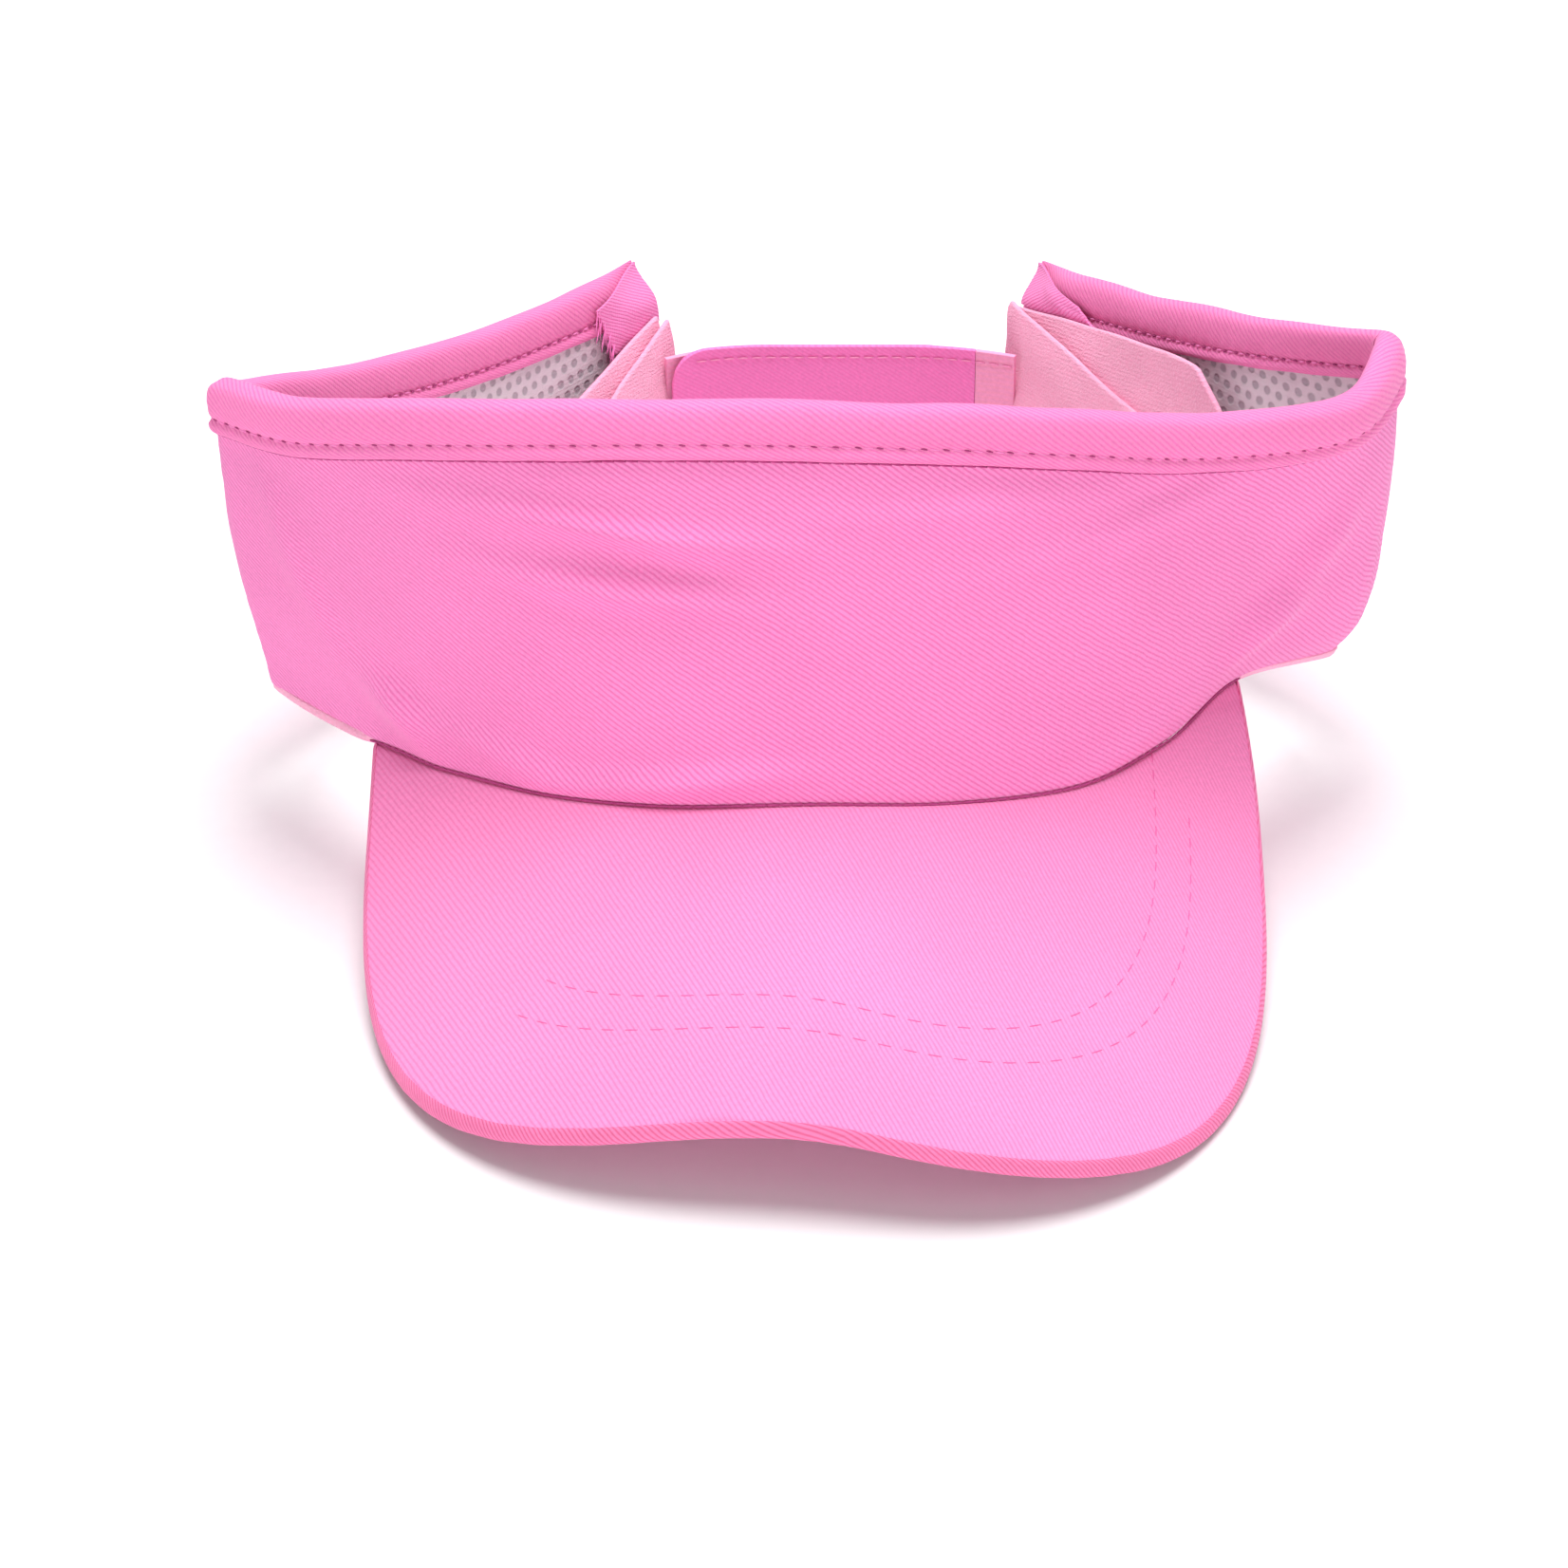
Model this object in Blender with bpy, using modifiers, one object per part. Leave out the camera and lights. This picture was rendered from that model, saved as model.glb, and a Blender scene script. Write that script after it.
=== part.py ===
"""Sun visor: a twill crown on a stiff arched brim, closed behind the head by a hook-and-loop strap.

The visor lies on a table, tipped back, with the brim towards -Y. Left and right are as seen from the
front, so left is -X. The crown folds at two side creases, and the two wings hinge there.
"""
import math

import bmesh
import bpy
from mathutils import Matrix, Vector

# Brim: an arch about a line that slopes down towards the front.
BRIM_MID_X = 0.0050
BRIM_ROOT_Y = -0.0523
BRIM_ROOT_Z = 0.0300
BRIM_SLOPE = 0.277
BRIM_ARCH = 4.6
BRIM_HALF_WIDTH = 0.0735
BRIM_CORNER_Y = -0.030
BRIM_REACH = 0.0866
BRIM_REACH_SKEW = 0.0034
BRIM_SKEW_FROM = 0.13
BRIM_SKEW_RATE = 4.0
BRIM_POWER = 3.0
BRIM_SIDE_STEP = 0.0030
BRIM_SIDE_SHARE = 0.05

# Crown edges in plan and in height, from the left crease round the front to the right crease.
# Each point of the lower edge is x, y; its height comes from the brim's arch.
FRONT_LOW_EDGE = (
    (-0.0880, 0.0093), (-0.0692, -0.0114), (-0.0545, -0.0278), (-0.0380, -0.0410), (-0.0180, -0.0500),
    (0.0040, -0.0523),
    (0.0260, -0.0500), (0.0465, -0.0402), (0.0636, -0.0218), (0.0770, 0.0010), (0.0945, 0.0175),
)
FRONT_TOP_EDGE = (
    (-0.0950, 0.0084, 0.0750), (-0.0812, -0.0055, 0.0785), (-0.0630, -0.0185, 0.0855),
    (-0.0420, -0.0265, 0.0900), (-0.0190, -0.0315, 0.0930),
    (0.0036, -0.0337, 0.0940),
    (0.0260, -0.0340, 0.0935), (0.0480, -0.0300, 0.0900), (0.0705, -0.0190, 0.0830),
    (0.0930, -0.0020, 0.0770), (0.1010, 0.0184, 0.0785),
)
BRIM_FROM = 0.1
BRIM_TO = 0.9

# Wings: straight in plan, from a crease to the rear end. The corners of the patch that holds the
# strap and of the sweatband's loose end are shares along and up the wing.
SIDES = {
    "left": {"crease_low_z": 0.0140, "rear_low": (-0.0260, 0.1125, -0.0031),
             "rear_top": (-0.0290, 0.1255, 0.0360), "top_sag": 0.0050,
             "patch": ((0.98, 0.03), (0.98, 0.74), (0.80, 0.48), (0.74, 0.05)),
             "flap": ((0.965, 0.03), (0.965, 0.72), (0.88, 0.44), (0.84, 0.05))},
    "right": {"crease_low_z": 0.0160, "rear_low": (0.0465, 0.1110, -0.0031),
              "rear_top": (0.0487, 0.1250, 0.0360), "top_sag": 0.0020,
              "patch": ((0.98, 0.03), (0.98, 0.75), (0.46, 0.76), (0.38, 0.05)),
              "flap": ((0.965, 0.03), (0.965, 0.78), (0.52, 0.54), (0.50, 0.05))},
}

# Layers of the crown, as depth inwards from the outer face.
GAP = 0.0004
CLOTH = 0.0005
INTERFACING = 0.0005
LINING = 0.0012
SWEATBAND = 0.0012
FOLDED_END = 0.0010
BINDING_WALL = 0.0005
STRAP = 0.0010
PATCH = 0.0006
BOARD = 0.0012
BOARD_MARGIN = 0.0010
EDGE_WALL = 0.0008
LINING_DEPTH = CLOTH + INTERFACING + 2.0 * GAP
BAND_DEPTH = LINING_DEPTH + LINING + GAP
END_DEPTH = BAND_DEPTH + SWEATBAND + GAP
FLAP_DEPTH = END_DEPTH + FOLDED_END + GAP

# Heights on the crown.
BINDING_HEIGHT = 0.0090
BINDING_RISE = 0.0010
BAND_HEIGHT = 0.0220
BAND_DROP = 0.0014
ALLOWANCE_HEIGHT = 0.0090
MITRE = 0.95
FOLD_OFFSET = 0.0012

# Closing strap behind the head. Both tapes are straight in the middle and bend forward at an end.
STRAP_MID_X = 0.0098
STRAP_STRAIGHT_HALF = 0.0120
STRAP_BEND_LENGTH = 0.0200
INNER_BEND = 0.0036
OUTER_BEND = 0.0052
STRAP_Y = 0.1124
STRAP_LOW_Z = -0.0030
STRAP_TOP_Z = 0.0242
LEFT_ROOT_X = -0.0218
RIGHT_ROOT_X = 0.0415
INNER_FREE_X = -0.0190
OUTER_FREE_X = 0.0330
PEEL_X = 0.0052
PEEL_GAP = 0.0008
RIGHT_TAB = 0.0060
OUTER_MARGIN = 0.0018
PATCH_MARGIN = 0.0020
HOOK_LENGTH = 0.0240
FREE_END_RADIUS = 0.0065
ANCHOR_FROM = 0.905
ANCHOR_TO = 0.985

# Facets along and up the pieces.
FRONT_COLUMNS = 40
FRONT_ROWS = 3
WING_COLUMNS = 6
BRIM_COLUMNS = 24
BRIM_ROWS = 5
STRAP_COLUMNS = 12

PINK_TWILL = ("pink_twill", (0.93, 0.25, 0.58), 0.85)
PALE_TERRY = ("pale_terry", (0.95, 0.42, 0.60), 0.95)
WHITE_MESH = ("white_mesh", (0.86, 0.80, 0.83), 0.80)
STRAP_PINK = ("strap_pink", (0.91, 0.16, 0.45), 0.80)
PALE_TAPE = ("pale_tape", (0.94, 0.36, 0.60), 0.85)
STIFFENER = ("stiffener", (0.90, 0.90, 0.88), 0.90)
BOARD_PLASTIC = ("board_plastic", (0.88, 0.88, 0.86), 0.45)
HOOK_NYLON = ("hook_nylon", (0.88, 0.30, 0.55), 0.60)


def clear_scene():
    """Remove whatever the file holds."""
    for item in list(bpy.data.objects):
        bpy.data.objects.remove(item, do_unlink=True)


def make_material(look):
    """One Principled material per finish."""
    name, colour, roughness = look
    found = bpy.data.materials.get(name)
    if found:
        return found
    material = bpy.data.materials.new(name)
    material.use_nodes = True
    shader = material.node_tree.nodes["Principled BSDF"]
    shader.inputs["Base Color"].default_value = (*colour, 1.0)
    shader.inputs["Roughness"].default_value = roughness
    shader.inputs["Metallic"].default_value = 0.0
    return material


def mix(a, b, share):
    """The point a share of the way from a to b."""
    return a + (b - a) * share


def spline(points, share):
    """Point on the smooth curve through evenly numbered points, from share 0 to 1."""
    last = len(points) - 1
    place = min(max(share, 0.0), 1.0) * last
    index = min(int(place), last - 1)
    local = place - index
    p1 = Vector(points[index])
    p2 = Vector(points[index + 1])
    p0 = Vector(points[index - 1]) if index > 0 else p1 * 2.0 - p2
    p3 = Vector(points[index + 2]) if index + 2 <= last else p2 * 2.0 - p1
    bend = p0 * 2.0 - p1 * 5.0 + p2 * 4.0 - p3
    turn = p1 * 3.0 - p0 - p2 * 3.0 + p3
    return (p1 * 2.0 + (p2 - p0) * local + bend * local ** 2 + turn * local ** 3) * 0.5


def brim_height(x, y):
    """Height of the brim's upper face."""
    return BRIM_ROOT_Z + BRIM_SLOPE * (y - BRIM_ROOT_Y) - BRIM_ARCH * (x - BRIM_MID_X) ** 2


def crease_lift(side, share):
    """How far the crown's lower edge stands above the brim's arch beyond the end of the brim."""
    end = FRONT_LOW_EDGE[-1] if side == "right" else FRONT_LOW_EDGE[0]
    full = SIDES[side]["crease_low_z"] - brim_height(*end)
    beyond = (share - BRIM_TO) if side == "right" else (BRIM_FROM - share)
    return full * max(0.0, beyond / BRIM_FROM)


def front_low(share):
    """Lower edge of the front panel."""
    plan = spline(FRONT_LOW_EDGE, share)
    side = "right" if share > 0.5 else "left"
    return Vector((plan.x, plan.y, brim_height(plan.x, plan.y) + crease_lift(side, share)))


def front_face(share, up):
    """Outer face of the front panel, from the left crease to the right crease."""
    top = spline(FRONT_TOP_EDGE, share)
    top.z -= BINDING_RISE
    return mix(front_low(share), top, up)


def wing_face(side, share, up):
    """Outer face of a wing, from its crease to its rear end."""
    end = 1.0 if side == "right" else 0.0
    low = mix(front_low(end), Vector(SIDES[side]["rear_low"]), share)
    top = mix(spline(FRONT_TOP_EDGE, end), Vector(SIDES[side]["rear_top"]), share)
    top.z -= SIDES[side]["top_sag"] * 4.0 * share * (1.0 - share) + BINDING_RISE
    return mix(low, top, up)


def face_of(part):
    """The face function of the front or of a wing."""
    if part == "front":
        return front_face
    return lambda share, up: wing_face(part, share, up)


def inward(part, share, up):
    """Unit normal of a face, towards the head."""
    face = face_of(part)
    step = 0.01
    back = max(share - step, 0.0)
    ahead = min(share + step, 1.0)
    along = face(ahead, up) - face(back, up)
    rise = face(share, 1.0) - face(share, 0.0)
    normal = along.cross(rise).normalized()
    head = Vector((BRIM_MID_X, 0.035, 0.03))
    if normal.dot(head - face(share, up)) < 0.0:
        normal.negate()
    return normal


def face_length(part):
    """Length of a face along its middle."""
    face = face_of(part)
    stops = [face(i / 24.0, 0.5) for i in range(25)]
    return sum((b - a).length for a, b in zip(stops, stops[1:]))


def height_at(part, share):
    """Height of the crown along its slope."""
    face = face_of(part)
    return (face(share, 1.0) - face(share, 0.0)).length


def crown_point(part, share, up, depth, inner_depth):
    """A point at a depth under a face. The deeper a piece goes, the sooner it stops before a crease."""
    trim = (GAP + MITRE * max(inner_depth, 0.0)) / FACE_LENGTHS[part]
    end = 1.0 - trim if part == "front" else 1.0
    inner = min(max(share, trim), end)
    return face_of(part)(inner, up) + inward(part, inner, up) * depth


def sheet(name, look, place, columns, rows, thickness, origin=None):
    """A sheet of even thickness whose middle follows place(across, up)."""
    grid = bmesh.new()
    bmesh.ops.create_grid(grid, x_segments=columns, y_segments=rows, size=0.5)
    for vertex in grid.verts:
        vertex.co = place(vertex.co.x + 0.5, vertex.co.y + 0.5)
    mesh = bpy.data.meshes.new(name)
    grid.to_mesh(mesh)
    grid.free()
    origin = Vector(origin) if origin else Vector()
    mesh.transform(Matrix.Translation(-origin))
    piece = bpy.data.objects.new(name, mesh)
    piece.location = origin
    visor.objects.link(piece)
    mesh.materials.append(make_material(look))
    wall = piece.modifiers.new("thickness", "SOLIDIFY")
    wall.thickness = thickness
    wall.offset = 0.0
    wall.use_even_offset = True
    return piece


def crown_layer(name, look, part, depth, thickness, low, high, rows=1, span=(0.0, 1.0), origin=None):
    """A layer under a face between two heights, which are metres above the lower edge by share."""
    columns = FRONT_COLUMNS if part == "front" else WING_COLUMNS
    columns = round(columns * (span[1] - span[0]))

    def place(across, up):
        share = mix(span[0], span[1], across)
        rise = mix(low(share), high(share), up) / height_at(part, share)
        return crown_point(part, share, rise, depth + thickness / 2.0, depth + thickness)
    return sheet(name, look, place, columns, rows, thickness, origin)


def binding(name, part, origin=None):
    """The folded strip over the crown's top edge: outer leg, top and inner leg."""
    outer = -GAP - BINDING_WALL / 2.0
    inner = BAND_DEPTH + BINDING_WALL / 2.0
    section = (
        (outer, -BINDING_HEIGHT), (outer, -BINDING_HEIGHT / 2.0), (outer, GAP),
        ((outer + inner) / 2.0, 2.0 * GAP + BINDING_WALL / 2.0),
        (inner, GAP), (inner, -BINDING_HEIGHT / 2.0), (inner, -BINDING_HEIGHT),
    )
    columns = FRONT_COLUMNS if part == "front" else WING_COLUMNS
    steps = len(section) - 1

    def place(across, around):
        depth, rise = section[round(around * steps)]
        up = 1.0 + rise / height_at(part, across)
        return crown_point(part, across, up, depth, depth + BINDING_WALL / 2.0)
    return sheet(name, PINK_TWILL, place, columns, steps, BINDING_WALL, origin)


def wing_patch(name, look, side, depth, thickness, corners, origin):
    """A four-cornered patch on the inside of a wing. Each corner is share, up."""
    rear_low, rear_top, front_top, front_low_corner = corners

    def place(across, up):
        low = mix(Vector(front_low_corner), Vector(rear_low), across)
        top = mix(Vector(front_top), Vector(rear_top), across)
        spot = mix(low, top, up)
        return crown_point(side, spot.x, spot.y, depth + thickness / 2.0, depth + thickness)
    return sheet(name, look, place, 4, 3, thickness, origin)


def brim_outline(share, outset=0.0):
    """Edge of the brim in plan: straight sides from the seam ends, and a full round front."""
    turn = (share - BRIM_SIDE_SHARE) / (1.0 - 2.0 * BRIM_SIDE_SHARE)
    angle = math.pi * min(max(turn, 0.0), 1.0)
    side = -math.cos(angle)
    power = 2.0 / BRIM_POWER
    across = math.copysign(abs(side) ** power, side)
    reach = BRIM_REACH + BRIM_REACH_SKEW * math.tanh(BRIM_SKEW_RATE * (across - BRIM_SKEW_FROM))
    x = BRIM_MID_X + (BRIM_HALF_WIDTH + outset) * across
    y = BRIM_CORNER_Y - (reach + outset) * max(math.sin(angle), 0.0) ** power
    if turn < 0.0 or turn > 1.0:
        seam = brim_root(1.0 if turn > 1.0 else 0.0, BRIM_SIDE_STEP)
        gone = (share - 1.0 + BRIM_SIDE_SHARE if turn > 1.0 else BRIM_SIDE_SHARE - share) / BRIM_SIDE_SHARE
        y = mix(BRIM_CORNER_Y, seam.y, gone)
    return Vector((x, y, 0.0))


def brim_root(share, outset):
    """Root of the brim in plan, just outside the crown's lower edge."""
    along = mix(BRIM_FROM, BRIM_TO, share)
    spot = front_low(along) - inward("front", along, 0.0) * outset
    return Vector((spot.x, spot.y, 0.0))


def brim_layer(name, look, depth, thickness, margin):
    """One layer of the brim, at a depth under its upper face and held back from its edge."""
    def place(across, forward):
        root = brim_root(across, GAP + margin)
        edge = brim_outline(across, -GAP - margin)
        spot = mix(root, edge, forward)
        z = brim_height(spot.x, spot.y) - depth - thickness / 2.0
        return Vector((spot.x, spot.y, z))
    return sheet(name, look, place, BRIM_COLUMNS, BRIM_ROWS, thickness)


def brim_edge():
    """The turned edge that wraps the rim of the brim."""
    tall = 2.0 * CLOTH + BOARD + 2.0 * GAP

    def place(across, up):
        spot = brim_outline(across, EDGE_WALL / 2.0)
        z = brim_height(spot.x, spot.y) - tall * (1.0 - up)
        return Vector((spot.x, spot.y, z))
    return sheet("brim_edge", PINK_TWILL, place, 2 * BRIM_COLUMNS, 2, EDGE_WALL)


def strap_bend(x, bend):
    """How far forward a tape stands at x. Bend is its depth at the left end and at the right end."""
    beyond = max(abs(x - STRAP_MID_X) - STRAP_STRAIGHT_HALF, 0.0) / STRAP_BEND_LENGTH
    return (bend[0] if x < STRAP_MID_X else bend[1]) * beyond ** 2


def strap_piece(name, look, span, back, thickness, margin, bend, round_end, origin):
    """A length of tape or patch, with rounded corners at one end: -1 left, 1 right, 0 neither."""
    centre_z = (STRAP_LOW_Z + STRAP_TOP_Z) / 2.0
    half = (STRAP_TOP_Z - STRAP_LOW_Z) / 2.0 - margin

    def place(across, up):
        x = mix(span[0], span[1], across)
        to_end = (x - span[0]) if round_end < 0 else (span[1] - x)
        drop = 0.0
        if round_end and to_end < FREE_END_RADIUS:
            drop = FREE_END_RADIUS - math.sqrt(FREE_END_RADIUS ** 2 - (FREE_END_RADIUS - to_end) ** 2)
        z = centre_z + (2.0 * up - 1.0) * (half - drop)
        return Vector((x, STRAP_Y + back - strap_bend(x, bend), z))
    return sheet(name, look, place, STRAP_COLUMNS, 2, thickness, origin)


def hinge_line(side):
    """Foot and direction of a crease's fold line, a little outside the binding."""
    end = 1.0 if side == "right" else 0.0
    low = front_face(end, 0.0)
    top = front_face(end, 1.0)
    outwards = -(inward("front", end, 0.5) + inward(side, 0.0, 0.5)).normalized()
    return low + outwards * FOLD_OFFSET, (top - low).normalized()


def strap_hinge(x, back, bend):
    """Middle of the line where a tape turns."""
    return Vector((x, STRAP_Y + back - strap_bend(x, bend), (STRAP_LOW_Z + STRAP_TOP_Z) / 2.0))


def build_front():
    """Front panel with its stiffener, lining, binding and sweatband."""
    def foot(_share):
        return 0.0

    def rim(share):
        return height_at("front", share) - GAP
    crown_layer("crown_front_panel", PINK_TWILL, "front", 0.0, CLOTH, foot, rim, FRONT_ROWS)
    crown_layer("crown_interfacing", STIFFENER, "front", CLOTH + GAP, INTERFACING, foot, rim, FRONT_ROWS)
    crown_layer("mesh_lining_front", WHITE_MESH, "front", LINING_DEPTH, LINING,
                lambda s: ALLOWANCE_HEIGHT + GAP, rim, FRONT_ROWS)
    crown_layer("brim_seam_allowance", PINK_TWILL, "front", LINING_DEPTH, LINING,
                foot, lambda s: ALLOWANCE_HEIGHT, 1, (BRIM_FROM, BRIM_TO))
    crown_layer("sweatband_front", PALE_TERRY, "front", BAND_DEPTH, SWEATBAND,
                lambda s: -BAND_DROP, lambda s: BAND_HEIGHT, 2)
    binding("binding_front", "front")


def build_wing(side):
    """One wing: panel, lining, binding, sweatband and the folded ends."""
    hinge, _direction = hinge_line(side)

    def foot(_share):
        return 0.0

    def rim(share):
        return height_at(side, share) - GAP
    crown_layer("wing_panel_" + side, PINK_TWILL, side, 0.0, CLOTH, foot, rim, 2, origin=hinge)
    crown_layer("mesh_lining_" + side, WHITE_MESH, side, LINING_DEPTH, LINING, foot, rim, 2, origin=hinge)
    crown_layer("sweatband_" + side, PALE_TERRY, side, BAND_DEPTH, SWEATBAND,
                lambda s: -BAND_DROP * (1.0 - s), lambda s: BAND_HEIGHT, 2, (0.0, ANCHOR_FROM - 0.005), hinge)
    binding("binding_" + side, side, hinge)
    tab = ((0.995, 0.74), (0.995, 0.995), (0.87, 0.90), (0.90, 0.76))
    wing_patch("binding_end_" + side, PINK_TWILL, side, BAND_DEPTH + BINDING_WALL + GAP, CLOTH, tab, hinge)
    shape = SIDES[side]
    wing_patch("sweatband_patch_" + side, PALE_TERRY, side, END_DEPTH, FOLDED_END, shape["patch"], hinge)
    wing_patch("sweatband_flap_" + side, PALE_TERRY, side, FLAP_DEPTH, FOLDED_END, shape["flap"], hinge)
    anchor = ((ANCHOR_TO, 0.03), (ANCHOR_TO, 0.68), (ANCHOR_FROM, 0.66), (ANCHOR_FROM, 0.03))
    wing_patch("strap_anchor_" + side, PALE_TAPE, side, BAND_DEPTH, STRAP, anchor, hinge)


def build_straps():
    """Inner tape from the right wing, outer tape from the left wing, and the patches that close them."""
    loop_back = STRAP / 2.0 + GAP + PATCH / 2.0
    hook_back = loop_back + PATCH + GAP
    outer_back = hook_back + PATCH / 2.0 + GAP + STRAP / 2.0
    inner_bend = (INNER_BEND, INNER_BEND)
    outer_bend = (OUTER_BEND, 0.0)
    inner_root = RIGHT_ROOT_X - RIGHT_TAB
    inner_hinge = strap_hinge(RIGHT_ROOT_X, 0.0, inner_bend)
    strap_piece("strap_tab_right", PALE_TAPE, (inner_root + GAP, RIGHT_ROOT_X), 0.0, STRAP, 0.0,
                inner_bend, 0, inner_hinge)
    strap_piece("strap_inner", STRAP_PINK, (INNER_FREE_X, inner_root), 0.0, STRAP, 0.0,
                inner_bend, -1, inner_hinge)
    strap_piece("loop_patch", STRAP_PINK, (INNER_FREE_X + PATCH_MARGIN, inner_root - PATCH_MARGIN),
                loop_back, PATCH, PATCH_MARGIN, inner_bend, 0, inner_hinge)
    base_hinge = strap_hinge(LEFT_ROOT_X, outer_back, outer_bend)
    peel_hinge = strap_hinge(PEEL_X, outer_back, outer_bend)
    strap_piece("strap_outer_base", PALE_TAPE, (LEFT_ROOT_X, PEEL_X - PEEL_GAP), outer_back, STRAP,
                OUTER_MARGIN, outer_bend, 0, base_hinge)
    strap_piece("strap_outer_end", PALE_TAPE, (PEEL_X, OUTER_FREE_X), outer_back, STRAP,
                OUTER_MARGIN, outer_bend, 1, peel_hinge)
    hook_end = OUTER_FREE_X - PATCH_MARGIN
    strap_piece("hook_patch", HOOK_NYLON, (hook_end - HOOK_LENGTH, hook_end), hook_back, PATCH,
                OUTER_MARGIN + PATCH_MARGIN, outer_bend, 0, peel_hinge)


def build_brim():
    """Brim: upper cloth, board, lower cloth and turned edge."""
    brim_layer("brim_top_cloth", PINK_TWILL, 0.0, CLOTH, 0.0)
    brim_layer("brim_board", BOARD_PLASTIC, CLOTH + GAP, BOARD, BOARD_MARGIN)
    brim_layer("brim_under_cloth", PINK_TWILL, CLOTH + BOARD + 2.0 * GAP, CLOTH, 0.0)
    brim_edge()


def stand_on_origin():
    """Move every piece so that the whole stands on the floor, centred on the origin."""
    bpy.context.view_layer.update()
    graph = bpy.context.evaluated_depsgraph_get()
    corners = []
    for piece in visor.objects:
        solid = piece.evaluated_get(graph)
        corners += [solid.matrix_world @ vertex.co for vertex in solid.data.vertices]
    low = Vector([min(c[i] for c in corners) for i in range(3)])
    high = Vector([max(c[i] for c in corners) for i in range(3)])
    shift = Vector((-(low.x + high.x) / 2.0, -(low.y + high.y) / 2.0, -low.z))
    for piece in visor.objects:
        piece.location += shift
    bpy.context.view_layer.update()
    return shift


clear_scene()
visor = bpy.data.collections.new("sun_visor")
bpy.context.scene.collection.children.link(visor)
FACE_LENGTHS = {part: face_length(part) for part in ("front", "left", "right")}
build_front()
for wing_side in SIDES:
    build_wing(wing_side)
build_straps()
build_brim()
ORIGIN_SHIFT = stand_on_origin()
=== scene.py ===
"""Sun visor in pink twill: the cloth, tape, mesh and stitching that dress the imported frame.

Left and right are as seen from in front of the brim. The crown is measured by how far round it a point
is from the middle of the front, in metres, negative to the left, and by how far up it is, from 0 at the
lower edge to 1 at the upper edge.
"""

import functools
import math

import bmesh
import bpy
from mathutils import Matrix, Vector, noise


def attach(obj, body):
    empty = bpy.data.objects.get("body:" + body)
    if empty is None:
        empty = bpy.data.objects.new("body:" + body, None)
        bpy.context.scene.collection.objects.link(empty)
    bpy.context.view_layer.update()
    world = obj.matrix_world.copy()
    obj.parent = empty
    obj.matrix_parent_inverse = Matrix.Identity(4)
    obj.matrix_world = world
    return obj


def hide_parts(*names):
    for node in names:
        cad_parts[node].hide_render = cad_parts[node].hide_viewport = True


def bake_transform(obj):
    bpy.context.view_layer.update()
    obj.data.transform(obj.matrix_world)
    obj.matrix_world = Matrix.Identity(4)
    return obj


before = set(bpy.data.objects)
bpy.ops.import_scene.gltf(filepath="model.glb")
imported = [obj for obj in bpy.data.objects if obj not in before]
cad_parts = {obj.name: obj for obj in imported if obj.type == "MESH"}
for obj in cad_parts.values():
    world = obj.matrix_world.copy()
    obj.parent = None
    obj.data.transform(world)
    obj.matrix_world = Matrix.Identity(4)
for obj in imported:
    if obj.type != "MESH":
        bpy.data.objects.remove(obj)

bl_info = {
    "name": "Sun Visor Cloth",
    "version": (1, 0, 0),
    "blender": (4, 5, 0),
    "location": "View3D > Sidebar > Sun Visor",
    "description": "Builds the cloth, tape, mesh and stitching of a sun visor on its packed frame",
    "category": "Object",
}

# Where the visor's own measuring point lies in the frame.
FLOOR_SHIFT = Vector((-0.0030789, -0.0037594, 0.0033788))

# Crown edges from the left crease round the front to the right crease: plan of the lower edge, and
# place of the upper edge.
LOW_EDGE = (
    (-0.0880, 0.0093), (-0.0692, -0.0114), (-0.0545, -0.0278), (-0.0380, -0.0410), (-0.0180, -0.0500),
    (0.0040, -0.0523),
    (0.0260, -0.0500), (0.0465, -0.0402), (0.0636, -0.0218), (0.0770, 0.0010), (0.0945, 0.0175),
)
TOP_EDGE = (
    (-0.0950, 0.0084, 0.0750), (-0.0812, -0.0055, 0.0785), (-0.0630, -0.0185, 0.0855),
    (-0.0420, -0.0265, 0.0900), (-0.0190, -0.0315, 0.0930),
    (0.0036, -0.0337, 0.0940),
    (0.0260, -0.0340, 0.0935), (0.0480, -0.0300, 0.0900), (0.0705, -0.0190, 0.0830),
    (0.0930, -0.0020, 0.0770), (0.1010, 0.0184, 0.0785),
)
# Shares of the front where the brim's seam starts and ends, and how high its turned cloth reaches.
BRIM_FROM = 0.1
BRIM_TO = 0.9
SEAM_TURN = 0.0090

# Height of the lower edge at each crease, rear ends of the wings, sag of their upper edges, and how far the
# cloth's upper edge lies under the binding's.
CREASE_LOW_Z = {"left": 0.0140, "right": 0.0160}
REAR_LOW = {"left": (-0.0260, 0.1125, -0.0031), "right": (0.0465, 0.1110, -0.0031)}
REAR_TOP = {"left": (-0.0290, 0.1255, 0.0360), "right": (0.0487, 0.1250, 0.0360)}
TOP_SAG = {"left": 0.0050, "right": 0.0020}
TOP_DROP = 0.0010

# How round each crease is, how far it swells outwards, and how far round the crown the swelling goes.
CREASE_ROUND = {"left": (0.0014, 0.0020), "right": (0.0034, 0.0060)}
CREASE_SWELL = {"left": 0.0022, "right": 0.0058}
SWELL_REACH = 0.026
SWELL_UP = {
    "left": (0.0, 0.22, 0.50, 0.76, 0.94, 1.0, 0.94, 0.76, 0.50, 0.22, 0.0),
    "right": (0.12, 0.78, 1.05, 1.16, 1.14, 1.10, 1.03, 0.93, 0.77, 0.58, 0.28),
}

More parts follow.
